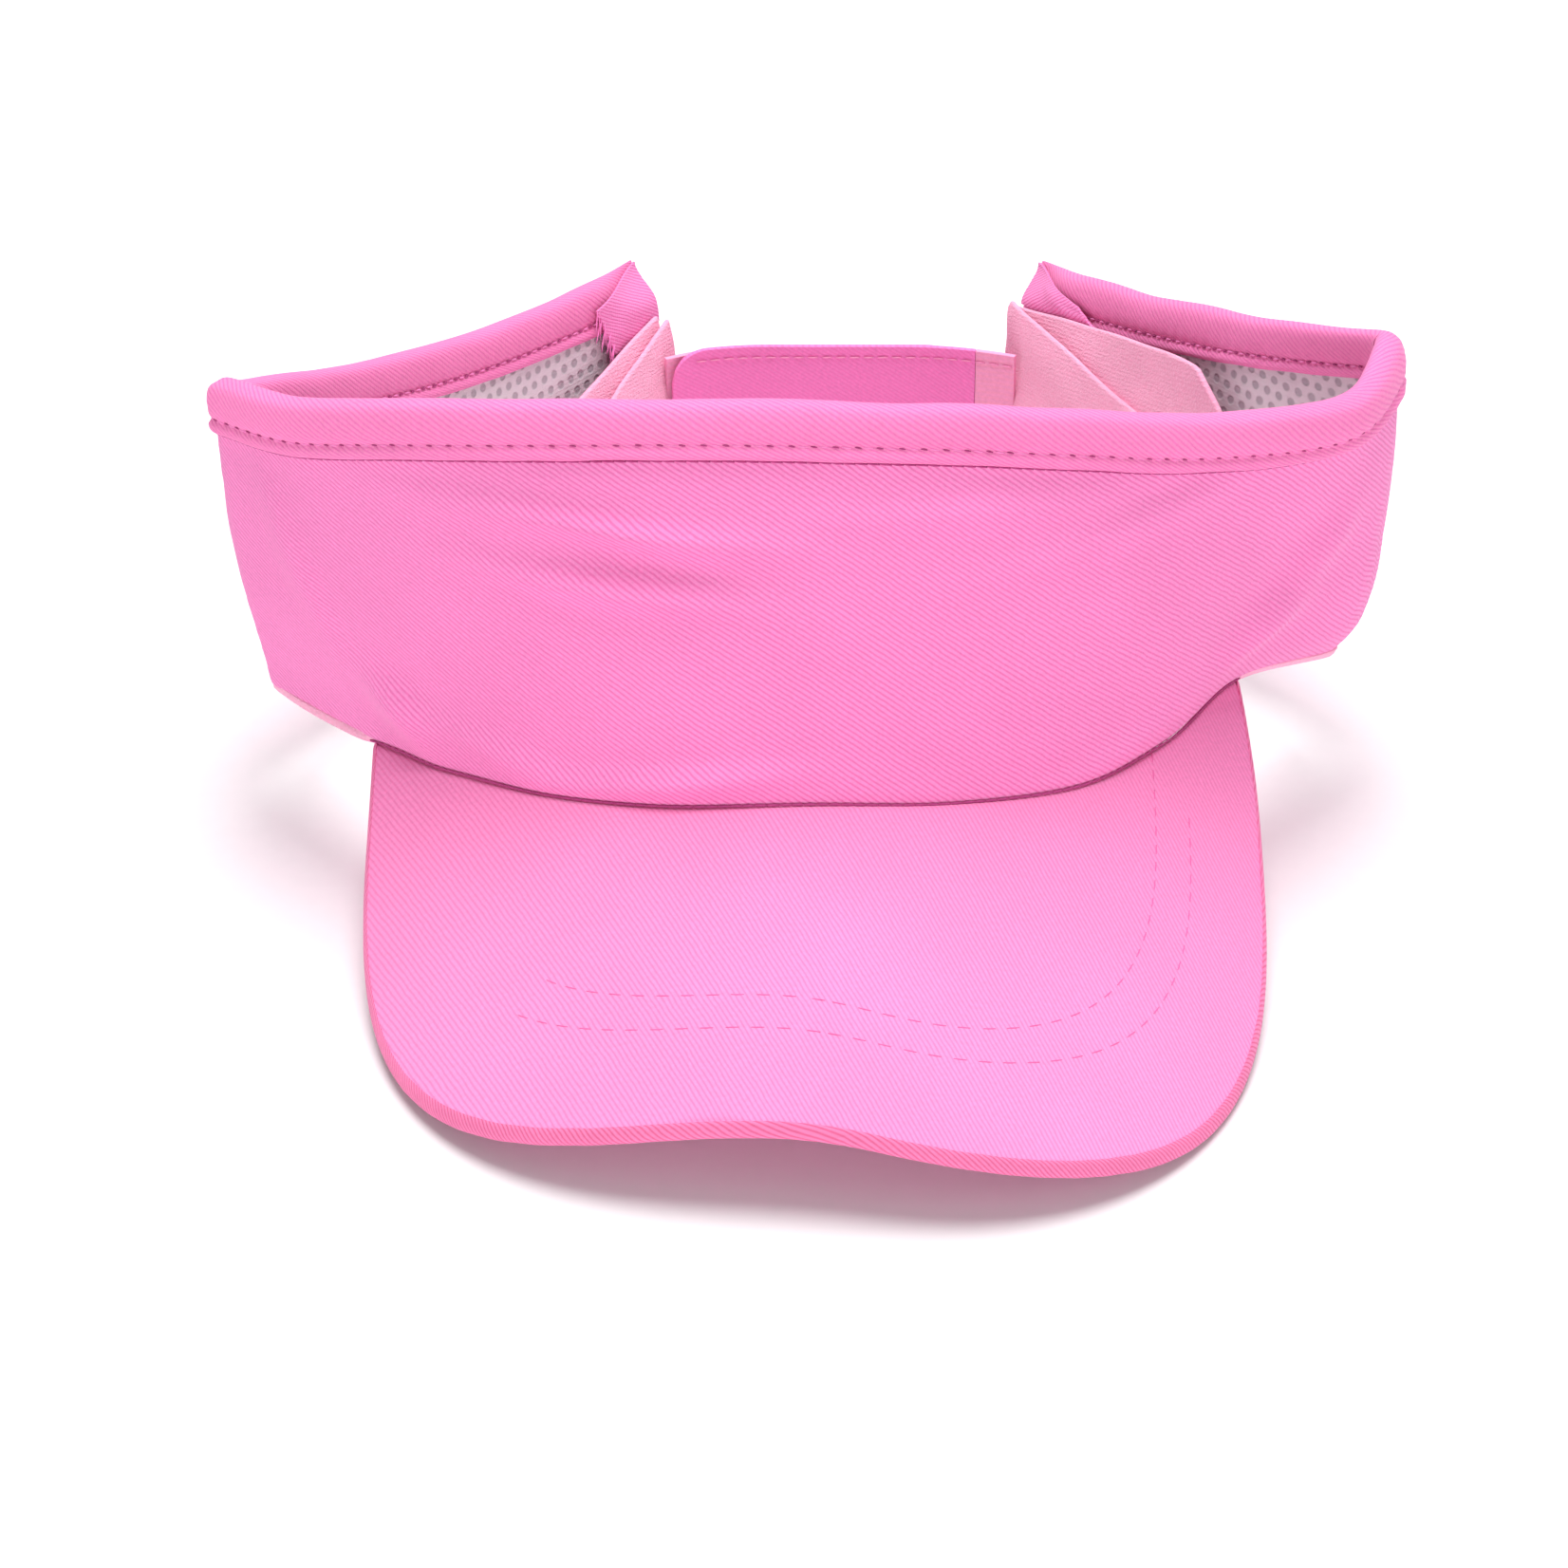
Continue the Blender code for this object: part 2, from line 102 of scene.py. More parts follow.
# Depths and walls of the crown's layers under its outer face. A mitre is the share of its depth by which a
# layer stops short of a crease, and the pinch is the share of its depth that is lost at a wing's tip.
MESH_DEPTH = 0.0018
MESH_WALL = 0.0012
BAND_DEPTH = 0.0034
BAND_WALL = 0.0012
BAND_HEIGHT = 0.0220
BAND_EDGE = 0.00045
MITRE = 0.95
PINCH = 0.78
BINDING_MITRE = 0.55

# How far back from its crease crease_blend takes its second point, which it does not use.
CREASE_BEND = 0.016

# Soft folds in the front cloth: round, up in metres, half length, tilt in degrees, depth, half width.
FOLDS = (
    (-0.0345, 0.0470, 0.026, -7.0, 0.00170, 0.0030),
    (-0.0300, 0.0425, 0.017, -14.0, -0.00095, 0.0024),
    (-0.0370, 0.0370, 0.020, -8.0, 0.00140, 0.0028),
    (-0.0270, 0.0045, 0.018, 4.0, 0.00130, 0.0026),
    (0.0180, 0.0500, 0.024, 5.0, 0.00080, 0.0038),
    (0.0480, 0.0440, 0.020, 12.0, 0.00085, 0.0034),
    (-0.0800, 0.0110, 0.009, -30.0, 0.00190, 0.0052),
    (0.0880, 0.0170, 0.009, 34.0, 0.00180, 0.0052),
    (0.0970, 0.0300, 0.008, 60.0, 0.00120, 0.0046),
    (-0.0560, 0.0060, 0.014, -14.0, 0.00080, 0.0030),
    (0.0560, 0.0050, 0.016, 12.0, 0.00080, 0.0030),
    (-0.0980, 0.0330, 0.014, -74.0, 0.00060, 0.0042),
)

# Brim: an arch about a line that slopes down to the front, reaching a little further to the right. Its
# outline is a rounded power curve between straight sides, and its cloth has one shallow dent near the front.
BRIM_MID_X = 0.0050
BRIM_ROOT_Y = -0.0523
BRIM_ROOT_Z = 0.0300
BRIM_SLOPE = 0.277
BRIM_ARCH = 4.6
BRIM_HALF_WIDTH = 0.0735
BRIM_CORNER_Y = -0.030
BRIM_REACH = 0.0866
BRIM_REACH_SKEW = 0.0034
BRIM_SKEW_FROM = 0.13
BRIM_SKEW_RATE = 4.0
BRIM_POWER = 3.0
BRIM_SIDE_STEP = 0.0012
BRIM_SIDE_SHARE = 0.05
BRIM_RIGHT_TAPER = 0.0018
BRIM_THICKNESS = 0.0030
BRIM_DENT = Vector((-0.0109, -0.1150, 0.0))
BRIM_DENT_REACH = 0.0050

# Closing strap: straight in the middle, bending forward to its ends. The inner tape comes from the right wing
# and the outer one from the left, and the outer one peels off about a line at one place across.
STRAP_MID_X = 0.0098
STRAP_STRAIGHT_HALF = 0.0120
STRAP_BEND_LENGTH = 0.0200
INNER_BEND = (0.0036, 0.0036)
OUTER_BEND = (0.0052, 0.0)
STRAP_Y = 0.1124
STRAP_LOW_Z = -0.0030
STRAP_TOP_Z = 0.0242
LOOP_BACK = 0.0012
OUTER_BACK = 0.0034
OUTER_MARGIN = 0.0018
LEFT_ROOT_X = -0.0218
RIGHT_ROOT_X = 0.0415
RIGHT_TAB = 0.0060
INNER_FREE_X = -0.0206
OUTER_FREE_X = 0.0330
FREE_END_RADIUS = 0.0065
STRAP_ROW_DROP = 0.0022

# Stitching: spacing of the binding's stitches and rise of their row above the crown's top edge; the same for
# the row in the ditch under the binding; and the spacings at the brim's seam and on the strap.
BINDING_PITCH = 0.00345
BINDING_STITCH_RISE = -0.0067
# The ditch row and the row at the brim's seam are dark beads: painted shade along the ditch and along the
# seam.
DITCH_PITCH = 0.0019
DITCH_RISE = -0.0093
SEAM_PITCH = 0.0020
STRAP_PITCH = 0.0026

# Brim rows: inset at the sides, inset at the front, and share of the brim's edge where the row ends.
BRIM_ROWS = ((0.0120, 0.0176, 0.945), (0.0177, 0.0238, 0.955))
BRIM_ROWS_FROM = 0.285
FRAYED_ENDS = 12

# Cuts: length and declared width of the brim's rim, width of the binding, and the least side of any cut.
RIM_LENGTH = 0.33
RIM_WIDTH = 0.0112
BINDING_CUT = 0.0225
LEAST_CUT = 0.0101


def mix(a, b, share):
    """The value a share of the way from a to b."""
    return a + (b - a) * share


def smooth(low, high, value):
    """0 below low, 1 above high, and an even turn between."""
    share = min(max((value - low) / (high - low), 0.0), 1.0)
    return share * share * (3.0 - 2.0 * share)


def side_of(distance):
    """The side of the crown that a distance round it is on."""
    return "right" if distance > 0.0 else "left"


def sign_of(side):
    """1 for the right and -1 for the left."""
    return 1.0 if side == "right" else -1.0


def spline(points, share):
    """Point on the smooth curve through evenly numbered points, from share 0 to 1."""
    last = len(points) - 1
    place = min(max(share, 0.0), 1.0) * last
    index = min(int(place), last - 1)
    local = place - index
    p1 = Vector(points[index])
    p2 = Vector(points[index + 1])
    p0 = Vector(points[index - 1]) if index > 0 else p1 * 2.0 - p2
    p3 = Vector(points[index + 2]) if index + 2 <= last else p2 * 2.0 - p1
    bend = p0 * 2.0 - p1 * 5.0 + p2 * 4.0 - p3
    turn = p1 * 3.0 - p0 - p2 * 3.0 + p3
    return (p1 * 2.0 + (p2 - p0) * local + bend * local ** 2 + turn * local ** 3) * 0.5


def brim_height(x, y):
    """Height of the brim's upper face."""
    return BRIM_ROOT_Z + BRIM_SLOPE * (y - BRIM_ROOT_Y) - BRIM_ARCH * (x - BRIM_MID_X) ** 2


def front_edges(share):
    """Lower and upper point of the front, from share 0 at the left crease to 1 at the right one."""
    plan = spline(LOW_EDGE, share)
    side = "right" if share > 0.5 else "left"
    end = LOW_EDGE[-1] if side == "right" else LOW_EDGE[0]
    beyond = max(0.0, (share - BRIM_TO) if side == "right" else (BRIM_FROM - share)) / BRIM_FROM
    lift = (CREASE_LOW_Z[side] - brim_height(*end)) * beyond ** 1.5
    low = Vector((plan.x, plan.y, brim_height(plan.x, plan.y) + lift))
    top = spline(TOP_EDGE, share)
    top.z -= TOP_DROP
    return low, top


def measure_front():
    """Distance round the front at mid height, at even shares."""
    stops = [mix(*front_edges(i / 96.0), 0.5) for i in range(97)]
    rounds = [0.0]
    for a, b in zip(stops, stops[1:]):
        rounds.append(rounds[-1] + (b - a).length)
    return rounds


FRONT_ROUNDS = measure_front()
HALF_FRONT = FRONT_ROUNDS[-1] / 2.0
WING_LENGTH = {
    side: (mix(Vector(REAR_LOW[side]), Vector(REAR_TOP[side]), 0.5)
           - mix(*front_edges(1.0 if side == "right" else 0.0), 0.5)).length
    for side in ("left", "right")
}


def front_share(distance):
    """Share of the front at a distance round it from the middle."""
    goal = distance + HALF_FRONT
    index = max(i for i in range(96) if FRONT_ROUNDS[i] <= max(goal, 0.0))
    step = FRONT_ROUNDS[index + 1] - FRONT_ROUNDS[index]
    return (index + (goal - FRONT_ROUNDS[index]) / step) / 96.0


@functools.lru_cache(maxsize=None)
def edges_at(tenths):
    """Lower and upper point of the crown, a whole number of tenths of a millimetre round from the middle."""
    distance = tenths * 0.0001
    if abs(distance) <= HALF_FRONT:
        return front_edges(front_share(distance))
    side = side_of(distance)
    share = (abs(distance) - HALF_FRONT) / WING_LENGTH[side]
    low, top = front_edges(1.0 if side == "right" else 0.0)
    low = mix(low, Vector(REAR_LOW[side]), share)
    rear_top = Vector(REAR_TOP[side])
    rear_top.z -= TOP_DROP
    top = mix(top, rear_top, share)
    top.z -= TOP_SAG[side] * 4.0 * share * (1.0 - share)
    return low, top


@functools.lru_cache(maxsize=None)
def soft_edges(tenths, reach):
    """The same two points, evened out over a reach in tenths of a millimetre, which rounds a crease."""
    low = Vector()
    top = Vector()
    for weight, offset in ((1, -1.0), (4, -0.5), (6, 0.0), (4, 0.5), (1, 1.0)):
        a, b = edges_at(tenths + round(offset * reach))
        low += a * (weight / 16.0)
        top += b * (weight / 16.0)
    return low, top


def face_point(distance, up):
    """Point and outward direction of the crown's outer face, before it swells."""
    side = side_of(distance)
    least, more = CREASE_ROUND[side]
    reach = round((least + more * math.sin(math.pi * min(max(up, 0.0), 1.0))) * 2500.0) * 4
    tenths = round(distance * 10000.0)
    low, top = soft_edges(tenths, reach)
    back = mix(*soft_edges(tenths - 10, reach), up)
    ahead = mix(*soft_edges(tenths + 10, reach), up)
    return mix(low, top, up), (ahead - back).cross(top - low).normalized()


@functools.lru_cache(maxsize=None)
def crown_height(tenths):
    """Height of the crown along its slope."""
    low, top = edges_at(tenths)
    return (top - low).length


def height_at(distance):
    """Height of the crown along its slope, a distance round from the middle."""
    return crown_height(round(distance * 10000.0))


def swell(distance, up):
    """How far the crown's cloth stands out from its smooth face: round creases, soft folds, slackness."""
    side = side_of(distance)
    gone = (abs(distance) - HALF_FRONT) / SWELL_REACH
    level = min(max(up, 0.0), 1.0)
    heights = [Vector((value, 0.0, 0.0)) for value in SWELL_UP[side]]
    out = CREASE_SWELL[side] * math.exp(-gone * gone) * spline(heights, level).x
    rise = up * height_at(distance)
    for across, high, half, tilt, depth, width in FOLDS:
        dx = distance - across
        dy = rise - high
        if abs(dx) > 0.05 or abs(dy) > 0.05:
            continue
        turn = math.radians(tilt)
        along = (dx * math.cos(turn) + dy * math.sin(turn)) / half
        beside = (dy * math.cos(turn) - dx * math.sin(turn)) / width
        shape = math.exp(-along * along) * math.exp(-beside * beside)
        out += depth * shape * (1.0 - 1.6 * beside)
    calm = smooth(0.0, 0.12, level) * (1.0 - smooth(0.82, 0.97, level))
    broad = noise.noise(Vector((distance * 22.0, rise * 34.0, 1.7)))
    fine = noise.noise(Vector((distance * 60.0 + rise * 30.0, rise * 95.0, 5.2)))
    return out + calm * (0.00060 * broad + 0.00022 * fine)


def crown_spot(distance, up, depth, inside=0, mitre=MITRE):
    """A point at a depth under the crown's outer face. Deep layers stop short of a crease, on the side
    that inside names: -1 for the front, 1 for a wing, 0 for a layer that lies on the outside. Mitre is the
    share of the depth beyond the crease's rounding by which they stop short."""
    if inside:
        side = side_of(distance)
        gone = abs(distance) - HALF_FRONT
        depth *= 1.0 - PINCH * smooth(0.86, 1.0, gone / WING_LENGTH[side]) * smooth(0.80, 1.0, up)
        trim = mitre * max(depth - 0.9 * CREASE_ROUND[side][0], 0.0)
        gone = min(gone, -trim) if inside < 0 else max(gone, trim)
        distance = sign_of(side) * (HALF_FRONT + gone)
    spot, outward = face_point(distance, up)
    return spot + outward * (swell(distance, up) - depth) + FLOOR_SHIFT


def wing_spot(side, share, up, depth):
    """A point under a wing's outer face, a share of the way back from its crease."""
    return crown_spot(sign_of(side) * (HALF_FRONT + share * WING_LENGTH[side]), up, depth, 1)


def brim_root(share, outset):
    """Root of the brim in plan, just outside the crown's lower edge."""
    along = mix(BRIM_FROM, BRIM_TO, share)
    low, _top = front_edges(along)
    back, _top = front_edges(along - 0.01)
    ahead, _top = front_edges(along + 0.01)
    run = (ahead - back).normalized()
    return Vector((low.x + run.y * outset, low.y - run.x * outset, 0.0))


def brim_outline(share, outset=0.0):
    """Edge of the brim in plan: straight sides from the seam ends, and a full round front."""
    turn = (share - BRIM_SIDE_SHARE) / (1.0 - 2.0 * BRIM_SIDE_SHARE)
    angle = math.pi * min(max(turn, 0.0), 1.0)
    side = -math.cos(angle)
    power = 2.0 / BRIM_POWER
    across = math.copysign(abs(side) ** power, side)
    reach = BRIM_REACH + BRIM_REACH_SKEW * math.tanh(BRIM_SKEW_RATE * (across - BRIM_SKEW_FROM))
    x = BRIM_MID_X + (BRIM_HALF_WIDTH + outset) * across
    y = BRIM_CORNER_Y - (reach + outset) * max(math.sin(angle), 0.0) ** power
    if turn < 0.0 or turn > 1.0:
        seam = brim_root(1.0 if turn > 1.0 else 0.0, BRIM_SIDE_STEP)
        gone = (share - 1.0 + BRIM_SIDE_SHARE if turn > 1.0 else BRIM_SIDE_SHARE - share) / BRIM_SIDE_SHARE
        y = mix(BRIM_CORNER_Y, seam.y, gone)
        x -= BRIM_RIGHT_TAPER * gone * gone if turn > 1.0 else 0.0
    return Vector((x, y, 0.0))


def brim_spot(plan, depth):
    """A point under the brim's upper face, above a point in plan."""
    slack = 0.00045 * noise.noise(Vector((plan.x * 26.0, plan.y * 30.0, 3.1)))
    return Vector((plan.x, plan.y, brim_height(plan.x, plan.y) + slack - depth)) + FLOOR_SHIFT


def strap_bend(x, bend):
    """How far forward a tape stands at x. Bend is its depth at the left end and at the right end."""
    beyond = max(abs(x - STRAP_MID_X) - STRAP_STRAIGHT_HALF, 0.0) / STRAP_BEND_LENGTH
    return (bend[0] if x < STRAP_MID_X else bend[1]) * beyond ** 2


def made_piece(name, shape, material):
    """A bmesh as an object of one material."""
    mesh = bpy.data.meshes.new(name)
    shape.to_mesh(mesh)
    shape.free()
    mesh.materials.append(material)
    piece = bpy.data.objects.new(name, mesh)
    bpy.context.scene.collection.objects.link(piece)
    return piece


def cloth_piece(name, material, place, columns, rows, wall, soft_edge=0.0, turned=False):
    """A sheet of cloth. place(across, up) gives a point of its outer face and its place in the weave."""
    grid = bmesh.new()
    bmesh.ops.create_grid(grid, x_segments=columns, y_segments=rows, size=0.5)
    weave = grid.loops.layers.uv.new("weave")
    placed = {}
    for vertex in grid.verts:
        spot, thread = place(vertex.co.x + 0.5, vertex.co.y + 0.5)
        placed[vertex] = thread
        vertex.co = spot
    for face in grid.faces:
        face.smooth = True
        for corner in face.loops:
            corner[weave].uv = placed[corner.vert]
    for edge in grid.edges:
        edge.smooth = not edge.is_boundary
    if turned:
        bmesh.ops.reverse_faces(grid, faces=grid.faces[:])
    piece = made_piece(name, grid, material)
    thickness = piece.modifiers.new("cloth thickness", "SOLIDIFY")
    thickness.thickness = wall
    thickness.offset = -1.0
    thickness.use_even_offset = False
    if soft_edge:
        rounding = piece.modifiers.new("soft edge", "BEVEL")
        rounding.width = soft_edge
        rounding.segments = 3
        rounding.limit_method = "ANGLE"
        rounding.angle_limit = math.radians(50.0)
        rounding.use_clamp_overlap = True
        rounding.harden_normals = False
    return piece


def stitch_piece(name, material, spots, length, width, height, tilt):
    """Sewing stitches as one mesh: a slim bead of thread at each spot, which is a point, a direction and a
    normal, turned by a tilt in radians."""
    thread = bmesh.new()
    for spot, run, outward in spots:
        side = outward.cross(run).normalized()
        run = (run.normalized() * math.cos(tilt) + side * math.sin(tilt)).normalized()
        side = outward.cross(run).normalized()
        up = run.cross(side).normalized()
        axes = Matrix((run * (length / 2.0), side * (width / 2.0), up * (height / 2.0)))
        axes = axes.transposed().to_4x4()
        place = Matrix.Translation(spot) @ axes
        bmesh.ops.create_uvsphere(thread, u_segments=6, v_segments=4, radius=1.0, matrix=place)
    for face in thread.faces:
        face.smooth = True
    bmesh.ops.recalc_face_normals(thread, faces=thread.faces[:])
    return made_piece(name, thread, material)


def crease_blend(piece, side):
    """Bake the piece's place into its mesh. The points at its crease and a little way back are worked out but
    not used.
    """
    start = crown_spot(sign_of(side) * HALF_FRONT, 0.5, 0.0)
    end = crown_spot(sign_of(side) * (HALF_FRONT + CREASE_BEND), 0.5, 0.0)
    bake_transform(piece)


def blank_material(name):
    """A material with no nodes yet, and its nodes and links."""
    material = bpy.data.materials.new(name)
    material.use_nodes = True
    material.node_tree.nodes.clear()
    return material, material.node_tree.nodes, material.node_tree.links


def twill(name, colour, groove, angle, pitch, relief, patchiness):
    """Cotton twill: slanting ribs of twisted yarn over the weave, uneven dye, soft nap, and painted shade in
    the grooves between the ribs, in the groove colour. Angle is the ribs' fall to the right in radians and
    pitch their spacing in metres."""
    material, nodes, links = blank_material(name)
    output = nodes.new("ShaderNodeOutputMaterial")
    output.label = "cloth surface"
    output.location = (1500, 0)
    cloth = nodes.new("ShaderNodeBsdfPrincipled")
    cloth.label = "napped cotton"
    cloth.location = (1200, 0)

    weave_frame = nodes.new("NodeFrame")
    weave_frame.label = "ribs and yarns"
    place = nodes.new("ShaderNodeUVMap")
    place.label = "place in the weave"
    turn = nodes.new("ShaderNodeMapping")
    turn.label = "turn to the ribs"
    split = nodes.new("ShaderNodeSeparateXYZ")
    split.label = "along and across a rib"
    waver = nodes.new("ShaderNodeTexNoise")
    waver.label = "ribs waver"
    ribs = nodes.new("ShaderNodeMath")
    ribs.label = "rib count"
    wavered = nodes.new("ShaderNodeMath")
    wavered.label = "wavering rib count"
    rib_turn = nodes.new("ShaderNodeMath")
    rib_turn.label = "round each rib"
    rib_wave = nodes.new("ShaderNodeMath")
    rib_wave.label = "rib section"
    rib_height = nodes.new("ShaderNodeMapRange")
    rib_height.label = "round rib, narrow groove"
    beads = nodes.new("ShaderNodeMath")
    beads.label = "yarn crossings"
    staggered = nodes.new("ShaderNodeMath")
    staggered.label = "crossings step from rib to rib"
    bead_wave = nodes.new("ShaderNodeMath")
    bead_wave.label = "bead of each crossing"
    bead_height = nodes.new("ShaderNodeMath")
    bead_height.label = "crossings ride on the ribs"
    for index, node in enumerate((place, turn, split, waver, ribs, wavered, rib_turn, rib_wave, rib_height,
                                  beads, staggered, bead_wave, bead_height)):
        node.parent = weave_frame
        node.location = (-1600 + 180 * index, 300 if index % 2 else 80)

    # Uneven dye, and the groove colour mixed in where the ribs are low: painted shade in the grooves.
    dye_frame = nodes.new("NodeFrame")
    dye_frame.label = "uneven dye"
    broad = nodes.new("ShaderNodeTexNoise")
    broad.label = "broad fading"
    small = nodes.new("ShaderNodeTexNoise")
    small.label = "flecked yarn"
    broad_tone = nodes.new("ShaderNodeMapRange")
    broad_tone.label = "broad tone"
    small_tone = nodes.new("ShaderNodeMapRange")
    small_tone.label = "fleck tone"
    recess_shade_mix = nodes.new("ShaderNodeMix")
    recess_shade_mix.label = "groove to rib colour"
    faded = nodes.new("ShaderNodeMix")
    faded.label = "fade"
    flecked = nodes.new("ShaderNodeMix")
    flecked.label = "fleck"
    for index, node in enumerate((broad, small, broad_tone, small_tone, recess_shade_mix, faded, flecked)):
        node.parent = dye_frame
        node.location = (-700 + 220 * index, -260 if index % 2 else -480)

    relief_frame = nodes.new("NodeFrame")
    relief_frame.label = "relief and nap"
    fuzz = nodes.new("ShaderNodeTexNoise")
    fuzz.label = "loose fibres"
    fibres = nodes.new("ShaderNodeMath")
    fibres.label = "fibres over the weave"
    bump = nodes.new("ShaderNodeBump")
    bump.label = "woven relief"
    dull = nodes.new("ShaderNodeMapRange")
    dull.label = "duller where fibres stand"
    for index, node in enumerate((fuzz, fibres, bump, dull)):
        node.parent = relief_frame
        node.location = (300 + 200 * index, -760)

    place.uv_map = "weave"
    turn.inputs["Rotation"].default_value = (0.0, 0.0, angle)
    waver.inputs["Scale"].default_value = 260.0
    waver.inputs["Detail"].default_value = 2.0
    ribs.operation = "MULTIPLY"
    ribs.inputs[1].default_value = 1.0 / pitch
    wavered.operation = "MULTIPLY_ADD"
    wavered.inputs[1].default_value = 0.55
    rib_turn.operation = "MULTIPLY"
    rib_turn.inputs[1].default_value = 2.0 * math.pi
    rib_wave.operation = "SINE"
    rib_height.interpolation_type = "SMOOTHSTEP"
    rib_height.inputs["From Min"].default_value = -1.0
    rib_height.inputs["From Max"].default_value = 0.35
    beads.operation = "MULTIPLY"
    beads.inputs[1].default_value = 2.0 * math.pi / (pitch * 0.8)
    staggered.operation = "MULTIPLY_ADD"
    staggered.inputs[1].default_value = math.pi
    bead_wave.operation = "SINE"
    bead_height.operation = "MULTIPLY_ADD"
    bead_height.inputs[1].default_value = 0.16
    broad.inputs["Scale"].default_value = 24.0
    broad.inputs["Detail"].default_value = 3.0
    small.inputs["Scale"].default_value = 1500.0
    small.inputs["Detail"].default_value = 3.0
    small.inputs["Roughness"].default_value = 0.65
    broad_tone.inputs["From Min"].default_value = 0.3
    broad_tone.inputs["From Max"].default_value = 0.7
    broad_tone.inputs["To Min"].default_value = 1.0 - patchiness
    broad_tone.inputs["To Max"].default_value = 1.0 + 0.3 * patchiness
    small_tone.inputs["From Min"].default_value = 0.25
    small_tone.inputs["From Max"].default_value = 0.75
    small_tone.inputs["To Min"].default_value = 0.90
    small_tone.inputs["To Max"].default_value = 1.06
    recess_shade_mix.data_type = "RGBA"
    # The groove colour is painted shade in the grooves.
    recess_shade_mix.inputs["A"].default_value = (*groove, 1.0)
    recess_shade_mix.inputs["B"].default_value = (*colour, 1.0)
    faded.data_type = "RGBA"
    faded.blend_type = "MULTIPLY"
    faded.inputs["Factor"].default_value = 1.0
    flecked.data_type = "RGBA"
    flecked.blend_type = "MULTIPLY"
    flecked.inputs["Factor"].default_value = 1.0
    fuzz.inputs["Scale"].default_value = 3200.0
    fuzz.inputs["Detail"].default_value = 2.0
    fibres.operation = "MULTIPLY_ADD"
    fibres.inputs[1].default_value = 0.35
    bump.inputs["Strength"].default_value = 0.8
    bump.inputs["Distance"].default_value = relief
    dull.inputs["To Min"].default_value = 0.78
    dull.inputs["To Max"].default_value = 0.96
    cloth.inputs["Specular IOR Level"].default_value = 0.25
    cloth.inputs["Sheen Weight"].default_value = 0.22
    cloth.inputs["Sheen Roughness"].default_value = 0.45
    cloth.inputs["Sheen Tint"].default_value = (1.0, 0.72, 0.90, 1.0)

    links.new(place.outputs["UV"], turn.inputs["Vector"])
    links.new(turn.outputs["Vector"], split.inputs["Vector"])
    links.new(turn.outputs["Vector"], waver.inputs["Vector"])
    links.new(split.outputs["Y"], ribs.inputs[0])
    links.new(waver.outputs["Fac"], wavered.inputs[0])
    links.new(ribs.outputs["Value"], wavered.inputs[2])
    links.new(wavered.outputs["Value"], rib_turn.inputs[0])
    links.new(rib_turn.outputs["Value"], rib_wave.inputs[0])
    links.new(rib_wave.outputs["Value"], rib_height.inputs["Value"])
    links.new(split.outputs["X"], beads.inputs[0])
    links.new(wavered.outputs["Value"], staggered.inputs[0])
    links.new(beads.outputs["Value"], staggered.inputs[2])
    links.new(staggered.outputs["Value"], bead_wave.inputs[0])
    links.new(bead_wave.outputs["Value"], bead_height.inputs[0])
    links.new(rib_height.outputs["Result"], bead_height.inputs[2])
    links.new(place.outputs["UV"], broad.inputs["Vector"])
    links.new(place.outputs["UV"], small.inputs["Vector"])
    links.new(broad.outputs["Fac"], broad_tone.inputs["Value"])
    links.new(small.outputs["Fac"], small_tone.inputs["Value"])
    links.new(rib_height.outputs["Result"], recess_shade_mix.inputs["Factor"])
    links.new(recess_shade_mix.outputs["Result"], faded.inputs["A"])
    links.new(broad_tone.outputs["Result"], faded.inputs["B"])
    links.new(faded.outputs["Result"], flecked.inputs["A"])
    links.new(small_tone.outputs["Result"], flecked.inputs["B"])
    links.new(flecked.outputs["Result"], cloth.inputs["Base Color"])
    links.new(place.outputs["UV"], fuzz.inputs["Vector"])
    links.new(fuzz.outputs["Fac"], fibres.inputs[0])
    links.new(bead_height.outputs["Value"], fibres.inputs[2])
    links.new(fibres.outputs["Value"], bump.inputs["Height"])
    links.new(bump.outputs["Normal"], cloth.inputs["Normal"])
    links.new(fuzz.outputs["Fac"], dull.inputs["Value"])
    links.new(dull.outputs["Result"], cloth.inputs["Roughness"])
    links.new(cloth.outputs["BSDF"], output.inputs["Surface"])
    return material


